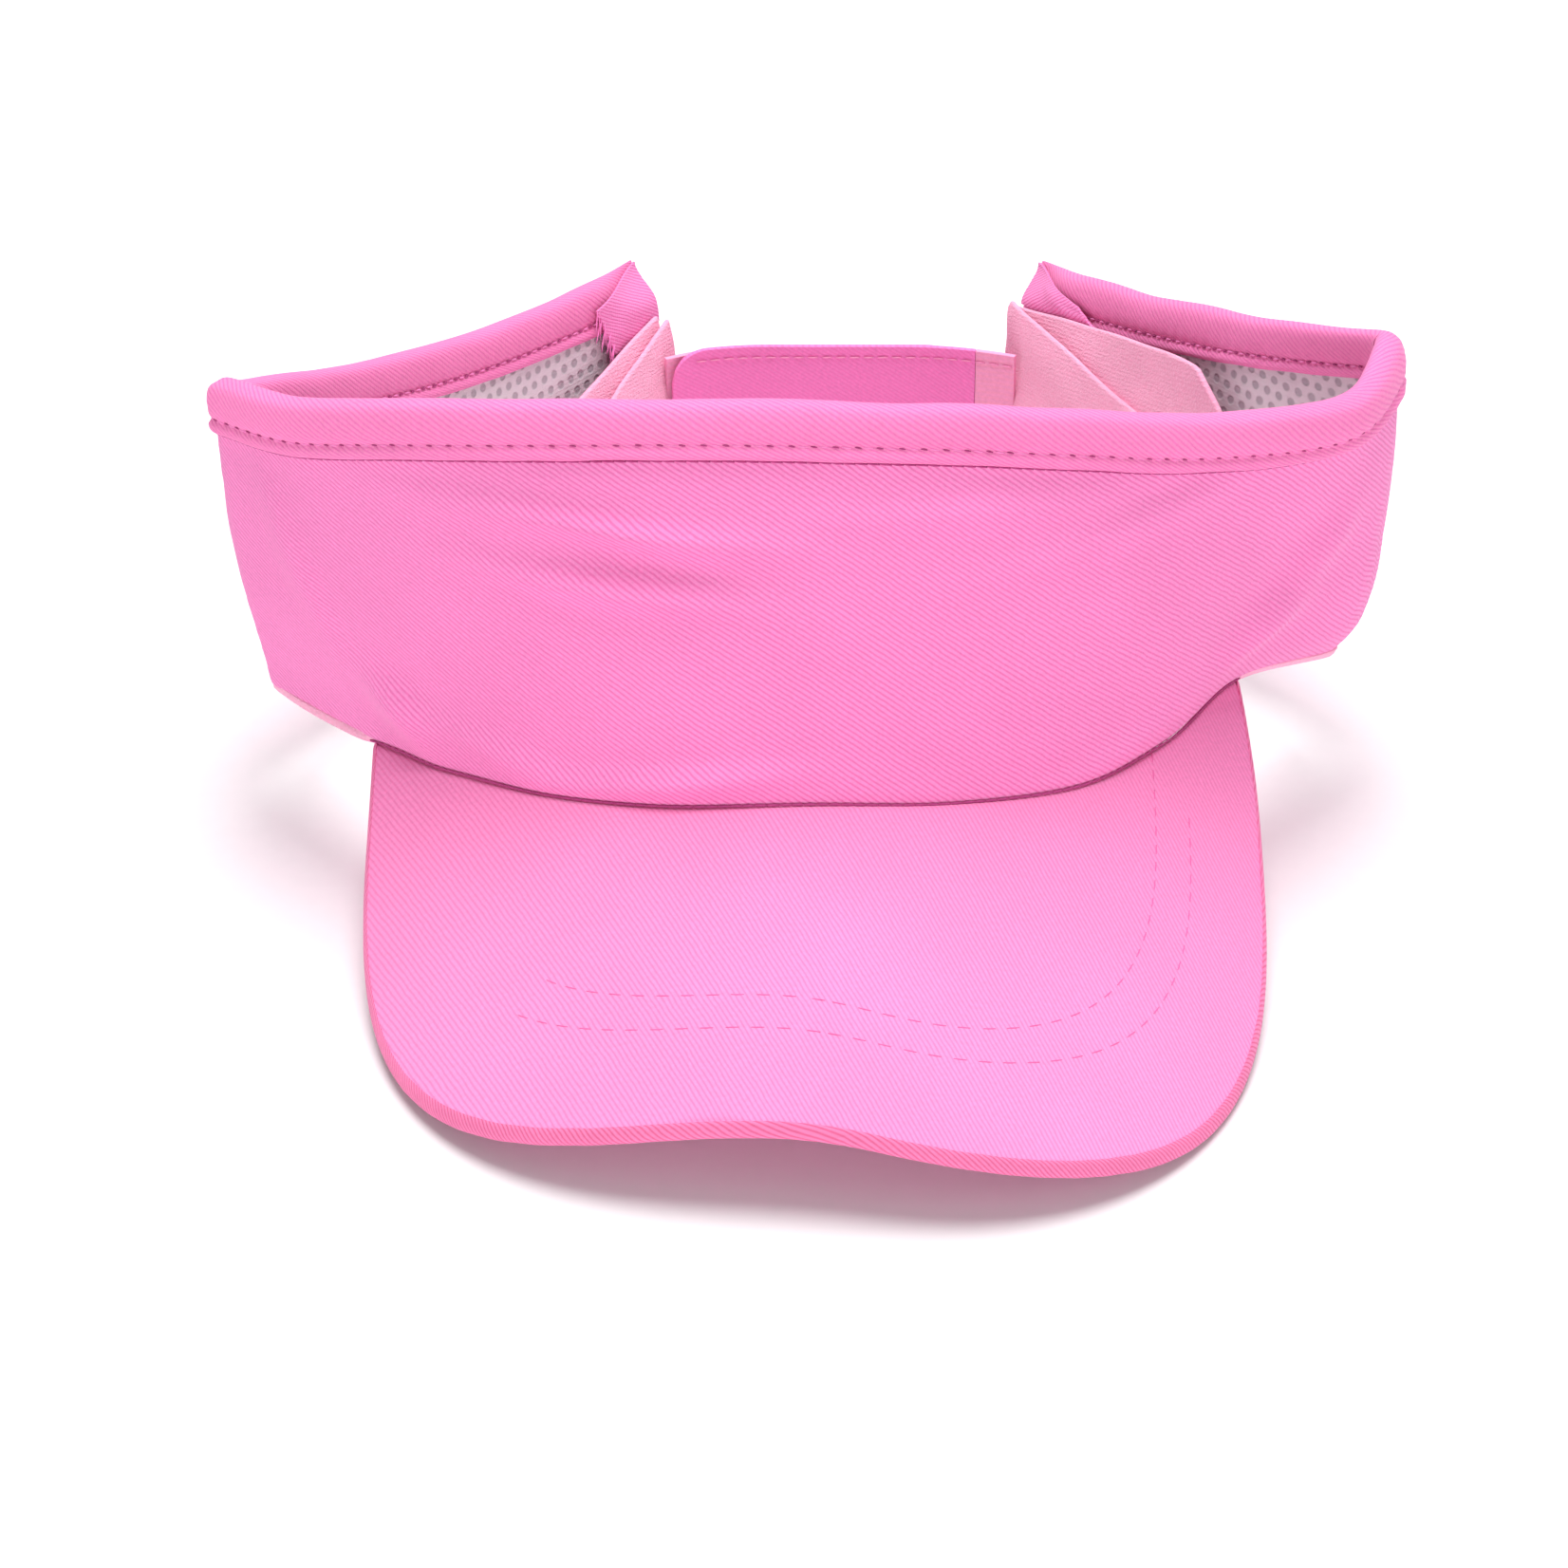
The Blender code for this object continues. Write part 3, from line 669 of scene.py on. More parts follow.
def brushed(name, colour, hollow, pile, relief, sheen):
    """Brushed knit or loop pile: a fine uneven pile with faint rows, and painted shade in the hollows between
    the tufts. Pile is the tufts' size in metres.
    """
    material, nodes, links = blank_material(name)
    output = nodes.new("ShaderNodeOutputMaterial")
    output.label = "pile surface"
    output.location = (1100, 0)
    cloth = nodes.new("ShaderNodeBsdfPrincipled")
    cloth.label = "brushed yarn"
    cloth.location = (800, 0)

    pile_frame = nodes.new("NodeFrame")
    pile_frame.label = "pile"
    place = nodes.new("ShaderNodeUVMap")
    place.label = "place in the knit"
    tufts = nodes.new("ShaderNodeTexVoronoi")
    tufts.label = "tufts"
    hair = nodes.new("ShaderNodeTexNoise")
    hair.label = "matted fibres"
    rows = nodes.new("ShaderNodeTexWave")
    rows.label = "knitted rows"
    tuft_height = nodes.new("ShaderNodeMapRange")
    tuft_height.label = "round tufts"
    matted = nodes.new("ShaderNodeMath")
    matted.label = "fibres over tufts"
    rowed = nodes.new("ShaderNodeMath")
    rowed.label = "rows under the pile"
    bump = nodes.new("ShaderNodeBump")
    bump.label = "pile relief"
    for index, node in enumerate((place, tufts, hair, rows, tuft_height, matted, rowed, bump)):
        node.parent = pile_frame
        node.location = (-1100 + 200 * index, 260 if index % 2 else 40)

    # The hollow colour mixed in between the tufts is painted shade in the hollows.
    dye_frame = nodes.new("NodeFrame")
    dye_frame.label = "colour of the pile"
    broad = nodes.new("ShaderNodeTexNoise")
    broad.label = "rubbed patches"
    broad_tone = nodes.new("ShaderNodeMapRange")
    broad_tone.label = "patch tone"
    recess_shade_mix = nodes.new("ShaderNodeMix")
    recess_shade_mix.label = "hollow to tuft colour"
    rubbed = nodes.new("ShaderNodeMix")
    rubbed.label = "rub"
    for index, node in enumerate((broad, broad_tone, recess_shade_mix, rubbed)):
        node.parent = dye_frame
        node.location = (-500 + 220 * index, -360)

    place.uv_map = "weave"
    tufts.inputs["Scale"].default_value = 1.0 / pile
    tufts.inputs["Randomness"].default_value = 0.85
    hair.inputs["Scale"].default_value = 2.2 / pile
    hair.inputs["Detail"].default_value = 3.0
    rows.bands_direction = "Y"
    rows.inputs["Scale"].default_value = 0.16 / pile
    rows.inputs["Distortion"].default_value = 1.2
    tuft_height.inputs["From Max"].default_value = 0.75
    tuft_height.inputs["To Min"].default_value = 1.0
    tuft_height.inputs["To Max"].default_value = 0.0
    matted.operation = "MULTIPLY_ADD"
    matted.inputs[1].default_value = 0.9
    rowed.operation = "MULTIPLY_ADD"
    rowed.inputs[1].default_value = 0.35
    bump.inputs["Strength"].default_value = 0.8
    bump.inputs["Distance"].default_value = relief
    broad.inputs["Scale"].default_value = 55.0
    broad.inputs["Detail"].default_value = 3.0
    broad_tone.inputs["From Min"].default_value = 0.3
    broad_tone.inputs["From Max"].default_value = 0.7
    broad_tone.inputs["To Min"].default_value = 0.93
    broad_tone.inputs["To Max"].default_value = 1.03
    recess_shade_mix.data_type = "RGBA"
    recess_shade_mix.inputs["A"].default_value = (*hollow, 1.0)
    recess_shade_mix.inputs["B"].default_value = (*colour, 1.0)
    rubbed.data_type = "RGBA"
    rubbed.blend_type = "MULTIPLY"
    rubbed.inputs["Factor"].default_value = 1.0
    cloth.inputs["Roughness"].default_value = 0.93
    cloth.inputs["Specular IOR Level"].default_value = 0.2
    cloth.inputs["Sheen Weight"].default_value = sheen
    cloth.inputs["Sheen Roughness"].default_value = 0.5
    cloth.inputs["Sheen Tint"].default_value = (1.0, 0.86, 0.93, 1.0)

    links.new(place.outputs["UV"], tufts.inputs["Vector"])
    links.new(place.outputs["UV"], hair.inputs["Vector"])
    links.new(place.outputs["UV"], rows.inputs["Vector"])
    links.new(place.outputs["UV"], broad.inputs["Vector"])
    links.new(tufts.outputs["Distance"], tuft_height.inputs["Value"])
    links.new(hair.outputs["Fac"], matted.inputs[0])
    links.new(tuft_height.outputs["Result"], matted.inputs[2])
    links.new(rows.outputs["Fac"], rowed.inputs[0])
    links.new(matted.outputs["Value"], rowed.inputs[2])
    links.new(rowed.outputs["Value"], bump.inputs["Height"])
    links.new(bump.outputs["Normal"], cloth.inputs["Normal"])
    links.new(tuft_height.outputs["Result"], recess_shade_mix.inputs["Factor"])
    links.new(broad.outputs["Fac"], broad_tone.inputs["Value"])
    links.new(recess_shade_mix.outputs["Result"], rubbed.inputs["A"])
    links.new(broad_tone.outputs["Result"], rubbed.inputs["B"])
    links.new(rubbed.outputs["Result"], cloth.inputs["Base Color"])
    links.new(cloth.outputs["BSDF"], output.inputs["Surface"])
    return material


def spacer_mesh(name, colour, hole_shade, across, down):
    """White spacer mesh in a knitted face, with staggered oval holes painted grey: painted shade of the space
    behind them. Across and down space the holes.
    """
    material, nodes, links = blank_material(name)
    output = nodes.new("ShaderNodeOutputMaterial")
    output.label = "mesh surface"
    output.location = (1500, 0)
    cloth = nodes.new("ShaderNodeBsdfPrincipled")
    cloth.label = "knitted polyester"
    cloth.location = (1200, 0)

    hole_frame = nodes.new("NodeFrame")
    hole_frame.label = "staggered holes"
    place = nodes.new("ShaderNodeUVMap")
    place.label = "place in the mesh"
    stray = nodes.new("ShaderNodeTexNoise")
    stray.label = "mesh is not quite even"
    strayed = nodes.new("ShaderNodeMix")
    strayed.label = "pull the holes about"
    split = nodes.new("ShaderNodeSeparateXYZ")
    split.label = "along and up"
    columns = nodes.new("ShaderNodeMath")
    columns.label = "column count"
    rows = nodes.new("ShaderNodeMath")
    rows.label = "row count"
    row = nodes.new("ShaderNodeMath")
    row.label = "row number"
    stagger = nodes.new("ShaderNodeMath")
    stagger.label = "every other row half a step on"
    column_place = nodes.new("ShaderNodeMath")
    column_place.label = "place in the column"
    row_place = nodes.new("ShaderNodeMath")
    row_place.label = "place in the row"
    centred = nodes.new("ShaderNodeCombineXYZ")
    centred.label = "place in the cell"
    from_middle = nodes.new("ShaderNodeVectorMath")
    from_middle.label = "from the hole's middle"
    oval = nodes.new("ShaderNodeVectorMath")
    oval.label = "oval distance"
    solid = nodes.new("ShaderNodeMapRange")
    solid.label = "soft rim of a hole"
    for index, node in enumerate((place, stray, strayed, split, columns, rows, row, stagger, column_place,
                                  row_place, centred, from_middle, oval, solid)):
        node.parent = hole_frame
        node.location = (-1900 + 180 * index, 300 if index % 2 else 80)

    face_frame = nodes.new("NodeFrame")
    face_frame.label = "knitted face"
    knit = nodes.new("ShaderNodeTexWave")
    knit.label = "knitted yarn"
    soil = nodes.new("ShaderNodeTexNoise")
    soil.label = "pink cast"
    cast = nodes.new("ShaderNodeMix")
    cast.label = "white to pink cast"
    recess_shade_mix = nodes.new("ShaderNodeMix")
    recess_shade_mix.label = "hole to face colour"
    relief = nodes.new("ShaderNodeMath")
    relief.label = "yarn over the face"
    bump = nodes.new("ShaderNodeBump")
    bump.label = "holes and yarn"
    for index, node in enumerate((knit, soil, cast, recess_shade_mix, relief, bump)):
        node.parent = face_frame
        node.location = (-300 + 220 * index, -360)

    place.uv_map = "weave"
    stray.inputs["Scale"].default_value = 180.0
    strayed.data_type = "VECTOR"
    strayed.blend_type = "MIX"
    strayed.inputs["Factor"].default_value = 0.0006
    columns.operation = "MULTIPLY"
    columns.inputs[1].default_value = 1.0 / across
    rows.operation = "MULTIPLY"
    rows.inputs[1].default_value = 1.0 / down
    row.operation = "FLOOR"
    stagger.operation = "MULTIPLY_ADD"
    stagger.inputs[1].default_value = 0.5
    column_place.operation = "FRACT"
    row_place.operation = "FRACT"
    from_middle.operation = "MULTIPLY_ADD"
    from_middle.inputs[1].default_value = (across / 0.00100, down / 0.00082, 0.0)
    from_middle.inputs[2].default_value = (-0.5 * across / 0.00100, -0.5 * down / 0.00082, 0.0)
    oval.operation = "LENGTH"
    solid.interpolation_type = "SMOOTHSTEP"
    solid.inputs["From Min"].default_value = 0.62
    solid.inputs["From Max"].default_value = 1.18
    knit.bands_direction = "Y"
    knit.inputs["Scale"].default_value = 420.0
    knit.inputs["Distortion"].default_value = 3.0
    knit.inputs["Detail Scale"].default_value = 400.0
    soil.inputs["Scale"].default_value = 40.0
    cast.data_type = "RGBA"
    cast.inputs["A"].default_value = (*colour, 1.0)
    cast.inputs["B"].default_value = (colour[0], colour[1] * 0.86, colour[2] * 0.94, 1.0)
    recess_shade_mix.data_type = "RGBA"
    # The holes take the hole colour: painted shade of the space behind the mesh.
    recess_shade_mix.inputs["A"].default_value = (*hole_shade, 1.0)
    relief.operation = "MULTIPLY_ADD"
    relief.inputs[1].default_value = 0.14
    bump.inputs["Strength"].default_value = 0.9
    bump.inputs["Distance"].default_value = 0.0005
    cloth.inputs["Roughness"].default_value = 0.8
    cloth.inputs["Sheen Weight"].default_value = 0.15

    links.new(place.outputs["UV"], stray.inputs["Vector"])
    links.new(place.outputs["UV"], strayed.inputs["A"])
    links.new(stray.outputs["Color"], strayed.inputs["B"])
    links.new(strayed.outputs["Result"], split.inputs["Vector"])
    links.new(split.outputs["X"], columns.inputs[0])
    links.new(split.outputs["Y"], rows.inputs[0])
    links.new(rows.outputs["Value"], row.inputs[0])
    links.new(row.outputs["Value"], stagger.inputs[0])
    links.new(columns.outputs["Value"], stagger.inputs[2])
    links.new(stagger.outputs["Value"], column_place.inputs[0])
    links.new(rows.outputs["Value"], row_place.inputs[0])
    links.new(column_place.outputs["Value"], centred.inputs["X"])
    links.new(row_place.outputs["Value"], centred.inputs["Y"])
    links.new(centred.outputs["Vector"], from_middle.inputs[0])
    links.new(from_middle.outputs["Vector"], oval.inputs[0])
    links.new(oval.outputs["Value"], solid.inputs["Value"])
    links.new(place.outputs["UV"], knit.inputs["Vector"])
    links.new(place.outputs["UV"], soil.inputs["Vector"])
    links.new(soil.outputs["Fac"], cast.inputs["Factor"])
    links.new(solid.outputs["Result"], recess_shade_mix.inputs["Factor"])
    links.new(cast.outputs["Result"], recess_shade_mix.inputs["B"])
    links.new(recess_shade_mix.outputs["Result"], cloth.inputs["Base Color"])
    links.new(knit.outputs["Fac"], relief.inputs[0])
    links.new(solid.outputs["Result"], relief.inputs[2])
    links.new(relief.outputs["Value"], bump.inputs["Height"])
    links.new(bump.outputs["Normal"], cloth.inputs["Normal"])
    links.new(cloth.outputs["BSDF"], output.inputs["Surface"])
    return material


def plain_grain(name, colour, grain, roughness, relief, change=0.08):
    """Thread, plastic sheet or floor: a plain finish with fine grain and slight changes of tone."""
    material, nodes, links = blank_material(name)
    output = nodes.new("ShaderNodeOutputMaterial")
    output.label = "finish"
    surface = nodes.new("ShaderNodeBsdfPrincipled")
    surface.label = "matt surface"
    place = nodes.new("ShaderNodeTexCoord")
    place.label = "place on the piece"
    specks = nodes.new("ShaderNodeTexNoise")
    specks.label = "fine grain"
    tone = nodes.new("ShaderNodeMapRange")
    tone.label = "grain tone"
    toned = nodes.new("ShaderNodeMix")
    toned.label = "tone the colour"
    bump = nodes.new("ShaderNodeBump")
    bump.label = "grain relief"
    grain_frame = nodes.new("NodeFrame")
    grain_frame.label = "grain"
    for index, node in enumerate((place, specks, tone, toned, bump)):
        node.parent = grain_frame
        node.location = (-900 + 200 * index, 100)
    surface.location = (200, 0)
    output.location = (500, 0)

    specks.inputs["Scale"].default_value = 1.0 / grain
    specks.inputs["Detail"].default_value = 3.0
    tone.inputs["From Min"].default_value = 0.25
    tone.inputs["From Max"].default_value = 0.75
    tone.inputs["To Min"].default_value = 1.0 - change
    tone.inputs["To Max"].default_value = 1.0 + 0.5 * change
    toned.data_type = "RGBA"
    toned.blend_type = "MULTIPLY"
    toned.inputs["Factor"].default_value = 1.0
    toned.inputs["A"].default_value = (*colour, 1.0)
    bump.inputs["Strength"].default_value = 0.6
    bump.inputs["Distance"].default_value = relief
    surface.inputs["Roughness"].default_value = roughness
    surface.inputs["Specular IOR Level"].default_value = 0.3

    links.new(place.outputs["Object"], specks.inputs["Vector"])
    links.new(specks.outputs["Fac"], tone.inputs["Value"])
    links.new(tone.outputs["Result"], toned.inputs["B"])
    links.new(toned.outputs["Result"], surface.inputs["Base Color"])
    links.new(specks.outputs["Fac"], bump.inputs["Height"])
    links.new(bump.outputs["Normal"], surface.inputs["Normal"])
    links.new(surface.outputs["BSDF"], output.inputs["Surface"])
    return material


# Each finish: how it is made, the looks that it takes, and its measures. Twill: fall of the ribs, their
# spacing, relief and patchiness. Pile: size of the tufts, relief and sheen. Mesh: spacing of the holes.
# Plain: size of the grain, roughness, relief and change of tone.
# The second look of a twill or pile is painted shade in its grooves or hollows, and the mesh's second look is
# painted shade in its holes.
FINISHES = {
    "crown_twill": (twill, ("twill_pink", "twill_groove_shade"), (math.radians(34.0), 0.00080, 0.00007, 0.07)),
    "binding_twill": (twill, ("binding_pink", "twill_groove_shade"), (math.radians(30.0), 0.00074, 0.00006, 0.05)),
    "brim_twill": (twill, ("brim_pink", "brim_groove_shade"), (math.radians(64.0), 0.00075, 0.00004, 0.06)),
    # The rim's twill is a darker, redder copy of the brim's: painted shade of its upright face.
    "rim_twill": (twill, ("shaded_rim_pink", "shaded_rim_groove"), (math.radians(40.0), 0.00080, 0.00008, 0.10)),
    "strap_tape": (twill, ("strap_pink", "strap_groove_shade"), (math.radians(34.0), 0.00070, 0.00003, 0.05)),
    "pale_tape": (twill, ("tape_pale", "terry_hollow_shade"), (0.0, 0.00110, 0.00004, 0.05)),
    "terry": (brushed, ("terry_pale", "terry_hollow_shade"), (0.00055, 0.00016, 0.25)),
    "loop_pile": (brushed, ("strap_pink", "strap_groove_shade"), (0.00040, 0.00030, 0.30)),
    "hook_pile": (brushed, ("hook_pink", "strap_groove_shade"), (0.00075, 0.00035, 0.05)),
    # The stiffener's hollows take the board's colour: painted shade in its hollows.
    "stiffener": (brushed, ("stiffener_white", "board_white"), (0.00120, 0.00008, 0.05)),
    "mesh": (spacer_mesh, ("mesh_white", "mesh_hole"), (0.00335, 0.00250)),
    "seam_cloth": (plain_grain, ("twill_pink",), (0.0009, 0.9, 0.00010)),
    "board": (plain_grain, ("board_white",), (0.0030, 0.45, 0.00002)),
    "thread": (plain_grain, ("thread_pink",), (0.0004, 0.6, 0.00005)),
    # Dark beads of painted shade in stitch holes, in the ditch under the binding and along the brim's seam.
    "dark_thread": (plain_grain, ("thread_dark",), (0.0004, 0.7, 0.00005)),
    "brim_thread": (plain_grain, ("thread_brim",), (0.0004, 0.8, 0.00004)),
    "strap_thread": (plain_grain, ("strap_pink",), (0.0004, 0.6, 0.00005)),
    "pale_thread": (plain_grain, ("thread_pale",), (0.0004, 0.6, 0.00005)),
    "floor": (plain_grain, ("floor_white",), (0.0030, 0.9, 0.00001, 0.01)),
}


def finish(name):
    """The material of that name, made from the looks when it is first asked for."""
    full = "visor_" + name
    if full not in bpy.data.materials:
        make, colours, measures = FINISHES[name]
        looks = bpy.context.scene.visor_looks
        make(full, *(getattr(looks, colour) for colour in colours), *measures)
    return bpy.data.materials[full]


def dress(nodes, flat):
    """Hide the nodes that a cloth piece stands for. Its flat cut is not used."""
    if nodes:
        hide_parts(*nodes)


def part_span(part):
    """Distances round the crown where the front or a wing starts and ends, from left to right."""
    if part == "front":
        return -HALF_FRONT, HALF_FRONT
    far = HALF_FRONT + WING_LENGTH[part]
    return (HALF_FRONT, far) if part == "right" else (-far, -HALF_FRONT)


def part_wing(part):
    """Which side of a crease a part's deep layers are on."""
    return -1 if part == "front" else 1


def settle(piece, part):
    """Fix a crown piece to the front, or bake a wing's piece where it stands."""
    if part == "front":
        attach(piece, "front")
    else:
        crease_blend(piece, part)


def crown_layer(name, material, part, depth, wall, low, high, grid, curl=None, span=None, soft_edge=0.0,
                tip=0.0):
    """A layer of the crown, from low above the crown's lower edge to high below its upper edge, in metres.
    curl gives more depth and more height for a height, and tip is how much lower it ends at a wing's tip."""
    near, far = span or part_span(part)

    def place(across, up):
        distance = mix(near, far, across)
        height = height_at(distance)
        gone = (abs(distance) - HALF_FRONT) / WING_LENGTH[side_of(distance)]
        rise = mix(low, height - high - tip * smooth(0.80, 0.97, gone), up)
        more_depth, more_rise = curl(distance, rise, up) if curl else (0.0, 0.0)
        inside = part_wing(part) if depth > 0.0 else 0
        spot = crown_spot(distance, (rise + more_rise) / height, depth + more_depth, inside)
        return spot, (distance, rise)
    return cloth_piece(name, material, place, grid[0], grid[1], wall, soft_edge)


class VisorSizes(bpy.types.PropertyGroup):
    """Thicknesses and stitch sizes of the visor's cloth."""
    cloth: bpy.props.FloatProperty(
        name="Cloth", description="Thickness of the twill", default=0.0005, unit="LENGTH", precision=5)
    tape: bpy.props.FloatProperty(
        name="Tape", description="Thickness of the strap tape", default=0.0010, unit="LENGTH", precision=5)
    patch: bpy.props.FloatProperty(
        name="Patch", description="Thickness of the hook and loop patches", default=0.0006, unit="LENGTH",
        precision=5)
    board: bpy.props.FloatProperty(
        name="Board", description="Thickness of the brim board", default=0.0012, unit="LENGTH",
        precision=5)
    fold: bpy.props.FloatProperty(
        name="Fold", description="Thickness of the folded sweatband ends", default=0.0011, unit="LENGTH",
        precision=5)
    stitch_pitch: bpy.props.FloatProperty(
        name="Stitch pitch", description="Distance from one stitch of the binding to the next",
        default=BINDING_PITCH, unit="LENGTH", precision=5)
    brim_pitch: bpy.props.FloatProperty(
        name="Brim stitch pitch", description="Distance from one stitch of the brim to the next",
        default=0.0040, unit="LENGTH", precision=5)


class VisorLooks(bpy.types.PropertyGroup):
    """Colours of the visor's cloth, tape, mesh and thread."""
    twill_pink: bpy.props.FloatVectorProperty(
        name="Twill", description="Top of a twill rib", default=(0.93, 0.285, 0.60), subtype="COLOR")
    # Groove colour: painted shade in the grooves between twill ribs.
    twill_groove_shade: bpy.props.FloatVectorProperty(
        name="Twill groove", description="Groove between twill ribs", default=(0.85, 0.18, 0.46),
        subtype="COLOR")
    brim_pink: bpy.props.FloatVectorProperty(
        name="Brim", description="Top of a rib of the brim", default=(0.93, 0.285, 0.565), subtype="COLOR")
    # Groove colour of the brim: painted shade in its grooves.
    brim_groove_shade: bpy.props.FloatVectorProperty(
        name="Brim groove", description="Groove between ribs of the brim", default=(0.87, 0.215, 0.47),
        subtype="COLOR")
    binding_pink: bpy.props.FloatVectorProperty(
        name="Binding", description="Top of a rib of the binding", default=(0.92, 0.25, 0.52),
        subtype="COLOR")
    # The rim's colours are a darker, redder copy of the brim's twill: painted shade of the rim's upright
    # face, and painted shade in its grooves.
    shaded_rim_pink: bpy.props.FloatVectorProperty(
        name="Rim", description="Turned edge of the brim", default=(0.90, 0.225, 0.46), subtype="COLOR")
    shaded_rim_groove: bpy.props.FloatVectorProperty(
        name="Rim groove", description="Groove in the turned edge", default=(0.78, 0.13, 0.30),
        subtype="COLOR")
    strap_pink: bpy.props.FloatVectorProperty(
        name="Strap", description="Inner strap tape", default=(0.96, 0.25, 0.60), subtype="COLOR")
    # Strap groove colour: painted shade in the tape's grooves and in the hollows of the hook and loop pile.
    strap_groove_shade: bpy.props.FloatVectorProperty(
        name="Strap groove", description="Hollows of the strap tape", default=(0.93, 0.21, 0.54),
        subtype="COLOR")
    tape_pale: bpy.props.FloatVectorProperty(
        name="Pale tape", description="Outer strap tape", default=(0.95, 0.40, 0.62), subtype="COLOR")
    terry_pale: bpy.props.FloatVectorProperty(
        name="Sweatband", description="Tufts of the sweatband", default=(0.98, 0.50, 0.67),
        subtype="COLOR")
    # Sweatband hollow colour: painted shade in the hollows between the tufts and in the grooves of the pale
    # tape.
    terry_hollow_shade: bpy.props.FloatVectorProperty(
        name="Sweatband hollow", description="Hollows between the tufts", default=(0.96, 0.40, 0.59),
        subtype="COLOR")
    mesh_white: bpy.props.FloatVectorProperty(
        name="Mesh", description="Face of the spacer mesh", default=(0.92, 0.87, 0.90), subtype="COLOR")
    # Mesh hole colour: painted shade of the space behind the mesh's holes.
    mesh_hole: bpy.props.FloatVectorProperty(
        name="Mesh hole", description="Holes of the spacer mesh", default=(0.56, 0.48, 0.54),
        subtype="COLOR")
    hook_pink: bpy.props.FloatVectorProperty(
        name="Hooks", description="Hook side of the closure", default=(0.86, 0.30, 0.55), subtype="COLOR")
    stiffener_white: bpy.props.FloatVectorProperty(
        name="Stiffener", description="Bonded stiffener", default=(0.86, 0.86, 0.84), subtype="COLOR")
    board_white: bpy.props.FloatVectorProperty(
        name="Board", description="Brim board", default=(0.80, 0.80, 0.78), subtype="COLOR")
    thread_pink: bpy.props.FloatVectorProperty(
        name="Thread", description="Sewing thread", default=(0.90, 0.26, 0.58), subtype="COLOR")
    thread_brim: bpy.props.FloatVectorProperty(
        name="Brim thread", description="Thread of the brim's stitching", default=(0.80, 0.15, 0.40),
        subtype="COLOR")
    # Painted shade: the dark beads in stitch holes, in the ditch under the binding and along the brim's seam.
    thread_dark: bpy.props.FloatVectorProperty(
        name="Sunk thread", description="Thread sunk in its stitch hole", default=(0.42, 0.05, 0.20),
        subtype="COLOR")
    thread_pale: bpy.props.FloatVectorProperty(
        name="Pale thread", description="Thread of the strap", default=(0.94, 0.34, 0.58),
        subtype="COLOR")
    floor_white: bpy.props.FloatVectorProperty(
        name="Floor", description="Table top", default=(0.90, 0.90, 0.90), subtype="COLOR")


class VISOR_OT_crown(bpy.types.Operator):
    """Build the crown's outer cloth, its stiffener and the turned cloth of the brim's seam"""
    bl_idname = "visor.crown"
    bl_label = "Crown Cloth"

    def execute(self, context):
        sizes = context.scene.visor_sizes

        def turned_in(_distance, rise, _up):
            near = min(max(1.0 - rise / 0.0012, 0.0), 1.0)
            return 0.0006 * near ** 2, -0.0002 * near ** 2
        for part, node, grid in (("front", "crown_front_panel", (220, 60)),
                                 ("left", "wing_panel_left", (90, 36)),
                                 ("right", "wing_panel_right", (90, 36))):
            piece = crown_layer("crown_cloth_" + part, finish("crown_twill"), part, 0.0, sizes.cloth,
                                -0.0002, 0.0006, grid, turned_in)
            near, far = part_span(part)
            dress((node,), (far - near, height_at(0.5 * (near + far))))
            settle(piece, part)
        stiff = crown_layer("crown_stiffener", finish("stiffener"), "front", 0.0010, 0.0005, 0.0016, 0.0006,
                            (110, 30))
        dress(("crown_interfacing",), (2.0 * HALF_FRONT, height_at(0.0)))
        settle(stiff, "front")
        near = (2.0 * BRIM_FROM - 1.0) * HALF_FRONT
        far = (2.0 * BRIM_TO - 1.0) * HALF_FRONT
        low = 0.0012

        def even(_distance, rise, up):
            return 0.0, mix(low, SEAM_TURN, up) - rise
        turn = crown_layer("brim_seam_turn", finish("seam_cloth"), "front", MESH_DEPTH, MESH_WALL, low,
                           height_at(0.0) - SEAM_TURN, (110, 8), even, (near, far))
        dress(("brim_seam_allowance",), (far - near, LEAST_CUT))
        settle(turn, "front")
        return {"FINISHED"}


class VISOR_OT_mesh(bpy.types.Operator):
    """Build the white spacer mesh inside the crown"""
    bl_idname = "visor.mesh"
    bl_label = "Mesh Lining"

    def execute(self, context):
        for part, low in (("front", 0.0094), ("left", 0.0), ("right", 0.0)):
            grid = (110, 24) if part == "front" else (60, 24)
            piece = crown_layer("mesh_" + part, finish("mesh"), part, MESH_DEPTH, MESH_WALL, low, 0.0010,
                                grid, tip=0.0085)
            near, far = part_span(part)
            dress(("mesh_lining_" + part,),
                  (far - near, height_at(0.5 * (near + far)) - low))
            settle(piece, part)
        return {"FINISHED"}


